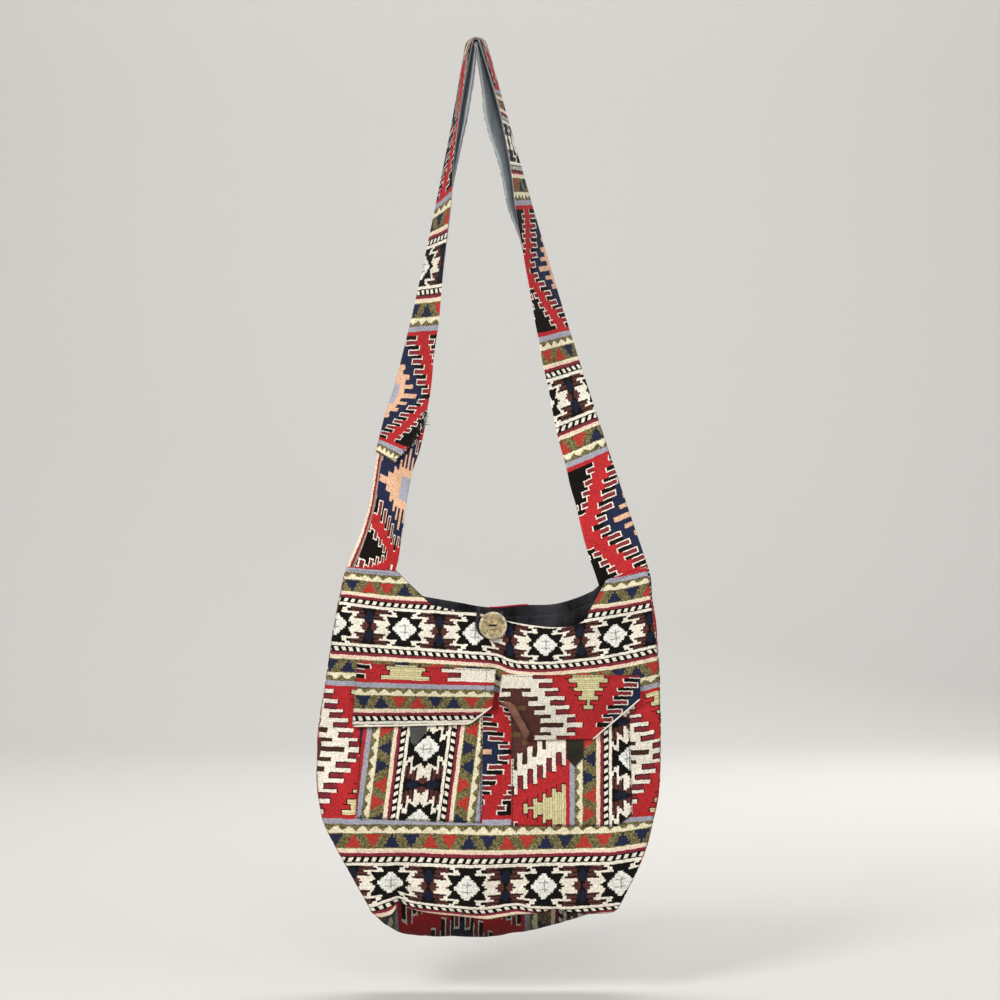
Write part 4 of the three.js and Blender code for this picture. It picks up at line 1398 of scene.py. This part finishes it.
# %% [markdown]
# The flaps stand off the pockets below them. A flap's pattern is placed by a tree of the red field or a row
# of dashes, again by pixels of the photograph.

# %% Left flap
LEFT_FLAP = corners((-137, 96), (2, 102), (-1, 154), (-141, 158))
LEFT_FLAP_CUT = {"run": 0.165, "rise": 17}
LEFT_FLAP_SIZE = (140, 56)
FLAP_STAND = 6.4
FLAP_FALL = 1.4
FLAP_WAVE = 1.1
TREE_AT = LOZENGE_AT + REPEAT_ACROSS / 4
LEFT_TREE_X = 406
LEFT_FLAP_X = 356
LEFT_FLAP_WIDTH = 130
LEFT_STRETCH = (1.03, 1.2)
DASHES_AT = 25.2
DASHES_Y = 717.2
DASHES_RISE = 2


def flap_stand(v):
    return GAP + CLOTH + FLAP_STAND * eased(v, 0, 0.55) + FLAP_FALL * v * v


def flap_wave(x, drop):
    return FLAP_WAVE * noise.noise(Vector((x / 26, drop / 30, 6.6)))


def left_flap_surface(u, up):
    x, drop = outline(LEFT_FLAP, SQUARE, LEFT_FLAP_CUT, u, 1 - up)
    stand = flap_stand(1 - up) + flap_wave(x, drop) * (1 - up) - turned_edge(u, up, *LEFT_FLAP_SIZE)
    return place(x, front_y(x, drop) - stand, drop)


def left_flap_pattern(u, up):
    x, drop = outline(LEFT_FLAP, SQUARE, LEFT_FLAP_CUT, u, 1 - up)
    px = PHOTO_X + x
    py = PHOTO_Y + drop
    to_end = clamp((px - LEFT_FLAP_X) / LEFT_FLAP_WIDTH)
    above = DASHES_Y - DASHES_RISE * to_end - py
    return (TREE_AT - (px - LEFT_TREE_X), DASHES_AT + above * lerp(*LEFT_STRETCH, to_end))


left_flap = cloth_piece("left_flap", 70, 36, left_flap_surface, left_flap_pattern,
                        CLOTH, [flap_kilim_painted_shade, lining_cloth])

# %% [markdown]
# The right flap has its lower left corner rolled up, which shows its brown lining: the roll is a cylinder
# that the flat corner is wrapped round. CURL_CUT is the slanted edge of that corner.

# %% Right flap
RIGHT_FLAP = corners((8, 107), (146, 108), (146, 170), (4, 171))
RIGHT_FLAP_CUT = {"run": 0.335, "rise": 39}
CURL_CUT = {"run": 0.133, "rise": 33}
CURL_REACH = 11.5
CURL_RADIUS = 2.5
RIGHT_TREE_X = 588
RIGHT_FIELD_Y = 723.4
RIGHT_FLAP_STRETCH = 1.12


def right_flap_surface(u, up):
    v = 1 - up
    x, drop = outline(RIGHT_FLAP, CURL_CUT, RIGHT_FLAP_CUT, u, v)
    run = CURL_CUT["run"] * (RIGHT_FLAP["low_right"][0] - RIGHT_FLAP["low_left"][0])
    slant = math.hypot(run, CURL_CUT["rise"])
    corner_x = RIGHT_FLAP["low_left"][0]
    corner_drop = RIGHT_FLAP["low_left"][1] - CURL_CUT["rise"]
    inside = ((x - corner_x) * CURL_CUT["rise"] - (drop - corner_drop) * run) / slant
    rolled = max(0, CURL_REACH - inside) * eased(drop, corner_drop - 16, corner_drop + 6)
    angle = min(rolled / CURL_RADIUS, math.pi)
    moved = rolled - CURL_RADIUS * math.sin(angle) + max(0, rolled - math.pi * CURL_RADIUS)
    x += moved * CURL_CUT["rise"] / slant
    drop -= moved * run / slant
    stand = flap_stand(v) + CURL_RADIUS * (1 - math.cos(angle)) + flap_wave(x, drop) * v
    stand -= HEM_CURL * (1 - clamp(rolled))
    return place(x, front_y(x, drop) - stand, drop)


def right_flap_pattern(u, up):
    x, drop = outline(RIGHT_FLAP, CURL_CUT, RIGHT_FLAP_CUT, u, 1 - up)
    px = PHOTO_X + x
    py = PHOTO_Y + drop
    return (TREE_AT + px - RIGHT_TREE_X, REPEAT_UP / 2 + (py - RIGHT_FIELD_Y) * RIGHT_FLAP_STRETCH)


right_flap = cloth_piece("right_flap", 90, 50, right_flap_surface, right_flap_pattern,
                         CLOTH, [flap_kilim_painted_shade, brown_cloth])

# %% [markdown]
# Each pocket has a small napped tab that hangs from under its flap and holds it shut.

# %% Tabs
TAB = 1.2
LEFT_TAB = corners((-84, 138), (-65, 134), (-67, 176), (-83, 176))
LEFT_TAB_CUTS = ({"run": 0.2, "rise": 3}, {"run": 0.65, "rise": 13})
RIGHT_TAB = corners((72, 150), (89, 150), (89, 198), (72, 198))
RIGHT_TAB_CUTS = ({"run": 0.5, "rise": 9}, {"run": 0.5, "rise": 9})


def tab_piece(name, shape, cuts, pouch, finish):
    def surface(u, up):
        x, drop = outline(shape, *cuts, u, 1 - up)
        return place(x, front_y(x, drop) - pouch_stand(pouch, x, drop) - CLOTH - GAP - TAB, drop)

    return cloth_piece(name, 16, 24, surface, plain_map(20, 40), TAB, [finish])


left_tab = tab_piece("left_tab", LEFT_TAB, LEFT_TAB_CUTS, LEFT_POUCH, tab_light)
right_tab = tab_piece("right_tab", RIGHT_TAB, RIGHT_TAB_CUTS, RIGHT_POUCH, tab_dark)

# %% [markdown]
# ## Thread
# Thread shows as stitches, as the lashing of the button, as rolled hems and as frays where the strap is
# pieced. Each is a small tube drawn to nothing at both ends. A curve object would do too, but many short
# tubes in one mesh are lighter. The tube starts as a flat grid that is wrapped round a line of points.

# %% Tube and stitch helpers
def add_tube(cut, points, radius, sides=6):
    """Adds a tube along points to a bmesh, pointed at both ends."""
    last = len(points) - 1
    made = bmesh.ops.create_grid(cut, x_segments=sides, y_segments=last, size=0.5)["verts"]
    for vert in made:
        turn = vert.co.x * 2 * math.pi
        i = round((vert.co.y + 0.5) * last)
        ahead = (points[min(i + 1, last)] - points[max(i - 1, 0)]).normalized()
        level = Vector((0, 1, 0)) if abs(ahead.y) < 0.9 else Vector((1, 0, 0))
        side = ahead.cross(level).normalized()
        other = ahead.cross(side)
        thick = 0 if i in (0, last) else radius
        vert.co = (points[i] + (side * math.cos(turn) + other * math.sin(turn)) * thick) * MM
    bmesh.ops.remove_doubles(cut, verts=made, dist=1e-7)


def add_stitches(cut, line, length=2.4, gap=1.3, radius=0.36):
    """A row of stitches along a line of points."""
    reach = [0.0]
    for before, after in zip(line, line[1:]):
        reach.append(reach[-1] + (after - before).length)

    def at(run):
        i = 1
        while i < len(line) - 1 and run > reach[i]:
            i += 1
        return line[i - 1].lerp(line[i], (run - reach[i - 1]) / (reach[i] - reach[i - 1]))

    start = 0.0
    while start + length < reach[-1]:
        add_tube(cut, [at(start + length * share) for share in (0, 0.2, 0.8, 1)], radius, 5)
        start += length + gap


def trail(surface, stops, steps=40, lift=0.2):
    """Points on a surface along straight lines between stops, a little in front of it."""
    line = []
    for (u0, v0), (u1, v1) in zip(stops, stops[1:]):
        line += [surface(lerp(u0, u1, i / steps), lerp(v0, v1, i / steps)) for i in range(steps)]
    line.append(surface(*stops[-1]))
    return [spot - Vector((0, lift, 0)) for spot in line]


def mesh_piece(name, cut, finish):
    """Makes a bmesh a piece of the bag with one finish."""
    bmesh.ops.recalc_face_normals(cut, faces=cut.faces)
    piece = new_object(name, cut)
    piece.data.materials.append(finish)
    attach(piece, "root")
    print(name, len(piece.data.polygons), "faces")
    return piece


# %% [markdown]
# Dark stitches run round both pockets, along the flaps' top seams, across the peaks where the strap is
# caught, and along the facing inside the back of the mouth.

# %% Stitches
POCKET_SEAM = [(0.012, 0.9), (0.012, 0.012), (0.988, 0.012), (0.988, 0.9)]
SHORT_SEAMS = [
    (left_flap_surface, (0.02, 0.975), (0.985, 0.975)),
    (left_flap_surface, (0.935, 0.95), (0.935, 0.42)),
    (right_flap_surface, (0.02, 0.975), (0.98, 0.975)),
    (front_surface, (0.012, 0.99), (0.155, 0.99)),
    (front_surface, (0.84, 0.99), (0.988, 0.99)),
]
rows = bmesh.new()
# Round the pockets the stitches are thicker and set closer, so their dark line is partly real thread and
# partly painted shadow of the pocket seams.
for pouch, cut in ((LEFT_POUCH, SQUARE), (RIGHT_POUCH, POUCH_CUT)):
    add_stitches(rows, trail(pouch_surface(pouch, cut), POCKET_SEAM), length=3.2, gap=0.7, radius=0.45)
for surface, start, end in SHORT_SEAMS:
    add_stitches(rows, trail(surface, [start, end]))
mesh_piece("stitching", rows, thread_finish)

rows = bmesh.new()
facing = trail(lambda s, up: lining_point(back_surface, 1 - s, up), [(0.16, 0.99), (0.86, 0.99)], lift=0.7)
add_stitches(rows, facing, length=1.8, gap=2.2, radius=0.3)
mesh_piece("facing_stitching", rows, lining_cloth)

# %% [markdown]
# The flaps' hems are rolled so that a line of white cloth shows along their lower edges, and at the back of
# the mouth a short stretch of red turns out over the facing.

# %% Rolled hems
LEFT_HEM_RADIUS = 1.0
RIGHT_HEM_RADIUS = 0.75
RIGHT_HEM_FROM = 0.66
roll = bmesh.new()
add_tube(roll, trail(left_flap_surface, [(0, 0), (1, 0)]), LEFT_HEM_RADIUS)
add_tube(roll, trail(right_flap_surface, [(RIGHT_HEM_FROM, 0), (1, 0)]), RIGHT_HEM_RADIUS)
mesh_piece("white_hems", roll, white_thread)

TURNED_OUT = (-6, 36)
TURNED_STEPS = 20
TURNED_RADIUS = 1.0
TURNED_DROP = 42
TURNED_FORWARD = 1.2
TURNED_DOWN = 0.3
roll = bmesh.new()
turned = []
for i in range(TURNED_STEPS + 1):
    x = lerp(*TURNED_OUT, i / TURNED_STEPS)
    drop = back_mouth.drop(share_at(x, TURNED_DROP))
    turned.append(place(x, back_y(x, drop) - TURNED_FORWARD, drop + TURNED_DOWN))
add_tube(roll, turned, TURNED_RADIUS)
mesh_piece("red_hem_roll", roll, red_hem)

# %% [markdown]
# Where the long strap piece is laid over the short one its edge has frayed, and so has the left pocket's
# lower corner. A fray is a short wandering thread: smooth noise gives each step, and a set seed makes it
# the same on every run.

# %% Frays
FRAY_SEED = 4
FRAY_STEPS = 6
FRAY_RADIUS = 0.3
FRAY_LIFT = Vector((0, 0.8, 0))
FRAY_ALONG = (SPLICE + 3, SPLICE + 50)
FRAY_ACROSS = 0.985
STRAP_STEP = 3.4
CORNER_STEP = 2.6
CORNER_AT = (0.05, 0.01)
CORNER_APART = 0.002


def add_fray(cut, spot, seed, step):
    points = [spot - FRAY_LIFT]
    for i in range(FRAY_STEPS):
        points.append(points[-1] + noise.noise_vector(Vector((seed * 1.7, i * 0.45, 2.3))) * step)
    add_tube(cut, points, FRAY_RADIUS, 4)


frayed_corner = pouch_surface(LEFT_POUCH, SQUARE)
noise.seed_set(FRAY_SEED)
for colour, count, finish in (("dark", 46, thread_finish), ("white", 18, white_thread)):
    frays = bmesh.new()
    for i in range(count):
        spot = cover_point(FRAY_ACROSS, lerp(*FRAY_ALONG, i / count))
        add_fray(frays, spot, i + len(colour) * 9.1, STRAP_STEP)
    for i in range(count // 4):
        spot = frayed_corner(CORNER_AT[0], CORNER_AT[1] + i * CORNER_APART)
        add_fray(frays, spot, i + 60 + len(colour), CORNER_STEP)
    mesh_piece(colour + "_frays", frays, finish)

# %% [markdown]
# ## Button
# The closure is a turned disc of coconut shell with a paler rim, a dished face and two holes. Its finish is
# a slow blotchy noise with a fine grain over it, run through three browns, and a paler mix for the rim.

# %% Shell finish
SHELL_ROUGHNESS = 0.45


def shell_finish(name, dark, middle, pale):
    material, start, inputs = new_finish(name, SHELL_ROUGHNESS)
    spot = start.node("ShaderNodeTexCoord", output=3)
    blotch = start.node("ShaderNodeTexNoise", None,
                        {"Vector": spot, "Scale": 240.0, "Detail": 6.0, "Roughness": 0.65})
    grain = start.node("ShaderNodeTexNoise", None, {"Vector": spot, "Scale": 1500.0, "Detail": 2.0})
    stops = [(0.38, dark), (0.5, middle), (0.62, pale)]
    colour = start.node("ShaderNodeValToRGB", {"stops": stops}, {"Fac": blotch * 0.75 + grain * 0.25})
    colour.feed(inputs["Base Color"])
    return material


shell_face = shell_finish("shell", dye(92, 82, 60), dye(146, 130, 96), dye(184, 168, 130))
shell_rim = shell_finish("shell_rim", dye(120, 108, 88), dye(168, 156, 132), dye(206, 196, 174))
print("shell finishes made")

# %% [markdown]
# The button lies on the slope of the cloth under it, so its place and its tilt come from the front without
# its folds.

# %% Button place
SHANK = 6.3


def plain_front(x, drop):
    return -edge_depth(drop) - FRONT_BELLY * swell(x, drop)


button_slope = plain_front(BUTTON_AT, BUTTON_DROP - 0.5) - plain_front(BUTTON_AT, BUTTON_DROP + 0.5)
button_tilt = math.atan(button_slope)
button_face = Vector((0, -math.cos(button_tilt), math.sin(button_tilt)))
button_up = Vector((0, math.sin(button_tilt), math.cos(button_tilt)))
button_centre = place(BUTTON_AT, plain_front(BUTTON_AT, BUTTON_DROP), BUTTON_DROP) + button_face * SHANK


def on_button(right, up, out):
    return button_centre + Vector((right, 0, 0)) + button_up * up + button_face * out


print("button tilts", round(math.degrees(button_tilt), 1), "degrees")

# %% [markdown]
# A half profile, given as radius and height, is spun round the axis into a disc. Two pins are cut away for
# the holes. The cut is made at once, so no cutter stays in the scene, and every vertex is then carried to
# its place on the bag.

# %% Button shape
HOLE_RADIUS = 1.1
HOLE_SPACING = 5.7
PIN_LENGTH = 9
RIM_INSIDE = 11.9
BUTTON_PROFILE = [(0, -2), (12.4, -2), (13.6, -1.4), (14, -0.4), (14, 0.9), (13.4, 1.7), (12.6, 1.9),
                  (11.8, 1.4), (8, 1.05), (0, 0.95)]
disc = bmesh.new()
profile = [disc.verts.new((r, 0, h)) for r, h in BUTTON_PROFILE]
edges = [disc.edges.new(pair) for pair in zip(profile, profile[1:])]
bmesh.ops.spin(disc, geom=profile + edges, cent=(0, 0, 0), axis=(0, 0, 1), angle=2 * math.pi,
               steps=56, use_merge=True)
bmesh.ops.remove_doubles(disc, verts=disc.verts, dist=1e-5)
pins = bmesh.new()
for side in (-1, 1):
    pin = bmesh.ops.create_cone(pins, cap_ends=True, segments=20, radius1=HOLE_RADIUS,
                                radius2=HOLE_RADIUS, depth=PIN_LENGTH)
    bmesh.ops.translate(pins, verts=pin["verts"], vec=(side * HOLE_SPACING / 2, 0, 0))
for cut in (disc, pins):
    bmesh.ops.recalc_face_normals(cut, faces=cut.faces)
blank = new_object("button_blank", disc)
cutter = new_object("button_pins", pins)
holes = blank.modifiers.new("holes", "BOOLEAN")
holes.object = cutter
holes.operation = "DIFFERENCE"
holes.solver = "EXACT"
drilled = blank.evaluated_get(bpy.context.evaluated_depsgraph_get())
button_mesh = bpy.data.meshes.new_from_object(drilled)
bpy.data.objects.remove(blank)
bpy.data.objects.remove(cutter)
button_mesh.materials.clear()
button_mesh.materials.append(shell_face)
button_mesh.materials.append(shell_rim)
for polygon in button_mesh.polygons:
    polygon.material_index = 1 if math.hypot(polygon.center.x, polygon.center.y) > RIM_INSIDE else 0
    polygon.use_smooth = True
for vert in button_mesh.vertices:
    vert.co = on_button(*vert.co) * MM
button = bpy.data.objects.new("shell_button", button_mesh)
scene.collection.objects.link(button)
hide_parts("button")
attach(button, "root")
print("button", len(button_mesh.polygons), "faces")

# %% [markdown]
# Two strands of thread cross the face from hole to hole, and a wound shank holds the button off the cloth.

# %% Button thread
STRAND_RADIUS = 0.5
STRANDS_UP = (-0.45, 0.4)
SHANK_RADIUS = 1.7
SHANK_SUNK = 0.6
lashing = bmesh.new()
half = HOLE_SPACING / 2
bow = [(-half, -2), (-half, 0.4), (-half + 0.5, 1.25), (0, 1.5), (half - 0.5, 1.25), (half, 0.4), (half, -2)]
for up in STRANDS_UP:
    add_tube(lashing, [on_button(right, up, out) for right, out in bow], STRAND_RADIUS)
shank = [on_button(0, 0, lerp(-2, SHANK_SUNK - SHANK, i / 5)) for i in range(6)]
add_tube(lashing, shank, SHANK_RADIUS, 10)
button_thread = mesh_piece("button_lashing", lashing, thread_finish)
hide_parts("button_thread")

# %% [markdown]
# ## Closing loop
# A sewn tube of lining cloth runs from the back edge over the front edge and round the button's shank. It
# is a cord of fixed length, so it is a curve with a round section.

# %% Loop
LOOP_THICK = 3.6
LOOP_SIDE = -3.2
LOOP_RADIUS = 13.5
LOOP_LIFT = 3
LOOP_TURN = 0.66
LEG_SHARE = 0.85


def loop_points():
    middle = BUTTON_AT + LOOP_SIDE
    off = LOOP_THICK / 2 + GAP
    leg_x = LEG_SHARE * LOOP_RADIUS

    def leg(side):
        x = middle + side * leg_x
        edge = front_mouth.drop(share_at(x, BUTTON_DROP))
        front = plain_front(x, edge)
        back = edge_depth(edge) + BACK_BELLY * swell(x, edge) - CLOTH - LINING_GAP - LINING
        return [
            place(x, back - off, edge + 2),
            place(x, back - off - 2, edge - 2),
            place(x, lerp(back, front, 0.4), edge - 5),
            place(x, lerp(back, front, 0.75), edge - 5.4),
            place(x, front - 0.5, edge - 4.2),
            place(x, front - off - 0.6, edge - 0.5),
        ]

    ring = []
    for i in range(9):
        turn = lerp(-LOOP_TURN, LOOP_TURN, i / 8) * math.pi
        x = middle + LOOP_RADIUS * math.sin(turn)
        drop = BUTTON_DROP - LOOP_LIFT + LOOP_RADIUS * math.cos(turn)
        ring.append(place(x, plain_front(x, drop) - off, drop))
    return leg(-1) + ring + leg(1)[::-1]


def cord_curve(name, points, diameter, finish):
    curve = bpy.data.curves.new(name, "CURVE")
    curve.dimensions = "3D"
    curve.bevel_depth = diameter / 2 * MM
    curve.bevel_resolution = 5
    curve.use_fill_caps = True
    spline = curve.splines.new("NURBS")
    spline.points.add(len(points) - 1)
    for point, spot in zip(spline.points, points):
        point.co = (*(spot * MM), 1)
    spline.order_u = 4
    spline.use_endpoint_u = True
    spline.resolution_u = 8
    curve.materials.append(finish)
    cord = bpy.data.objects.new(name, curve)
    scene.collection.objects.link(cord)
    return cord


loop_route = loop_points()
closure_loop = cord_curve("closure_loop", loop_route, LOOP_THICK, lining_cloth)
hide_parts("closure_loop")
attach(closure_loop, "root")
loop_length = sum((b - a).length for a, b in zip(loop_route, loop_route[1:])) * MM
print("loop", round(loop_length * 1000), "mm long")

# %% [markdown]

# %% [markdown]
# ## Studio
# One pale paper sheet makes the floor just under the bag and sweeps up well behind it, so that a camera can
# also go round to the back.

# %% Studio
FLOOR = -0.965
WALL = 4.6
SWEEP_RADIUS = 1.6
STAGE_WIDTH = 14.0
STAGE_FRONT = -5.5
STAGE_TOP = 4.0


def sweep_point(share):
    """The profile of the studio sheet: level floor, a wide bend and an upright wall."""
    flat = WALL - SWEEP_RADIUS - STAGE_FRONT
    bend = math.pi / 2 * SWEEP_RADIUS
    wall = STAGE_TOP - FLOOR - SWEEP_RADIUS
    run = share * (flat + bend + wall)
    if run < flat:
        return STAGE_FRONT + run, FLOOR
    if run < flat + bend:
        angle = (run - flat) / SWEEP_RADIUS
        deep = WALL - SWEEP_RADIUS + SWEEP_RADIUS * math.sin(angle)
        return deep, FLOOR + SWEEP_RADIUS * (1 - math.cos(angle))
    return WALL, FLOOR + SWEEP_RADIUS + run - flat - bend


floor_finish, _, floor_inputs = new_finish("studio_floor", 0.9)
floor_inputs["Base Color"].default_value = dye(206, 204, 200)
sheet = bmesh.new()
bmesh.ops.create_grid(sheet, x_segments=2, y_segments=120, size=0.5)
for vert in sheet.verts:
    deep, height = sweep_point(vert.co.y + 0.5)
    vert.co = Vector((vert.co.x * STAGE_WIDTH, deep, height))
studio_sheet = new_object("studio_sheet", sheet)
studio_sheet.data.materials.append(floor_finish)
print("studio sheet", STAGE_WIDTH, "m wide")

# %% [markdown]
# A soft light stands high to the left of the camera, one above it and a weaker one to the right. One more
# lights the paper and one the back of the bag, and the world fills the shadows.

# %% Lights
def soft_light(name, location, target, size, power, tint):
    data = bpy.data.lights.new(name, "AREA")
    data.size = size
    data.energy = power
    data.color = tint
    lamp = bpy.data.objects.new(name, data)
    lamp.location = location
    lamp.rotation_euler = (Vector(target) - Vector(location)).to_track_quat("-Z", "Y").to_euler()
    scene.collection.objects.link(lamp)


soft_light("key", (-1.2, -2.2, 0.7), (0, 0, -0.5), 0.8, 55, (1.0, 0.98, 0.95))
soft_light("front", (0.3, -2.8, 0.4), (0, 0, -0.45), 0.8, 26, (1.0, 0.99, 0.97))
soft_light("fill", (1.9, -1.9, 0.0), (0, 0, -0.5), 1.6, 18, (0.96, 0.98, 1.0))
soft_light("wall", (0.0, 1.0, 3.2), (0, 4.4, -0.4), 2.6, 150, (1.0, 1.0, 1.0))
soft_light("back", (1.4, 2.6, 0.7), (0, 0, -0.5), 1.2, 26, (1.0, 0.99, 0.97))

world = bpy.data.worlds.new("studio")
world.use_nodes = True
world.node_tree.nodes["Background"].inputs["Color"].default_value = (0.86, 0.87, 0.88, 1)
world.node_tree.nodes["Background"].inputs["Strength"].default_value = 0.25
scene.world = world
scene.view_settings.view_transform = "Standard"
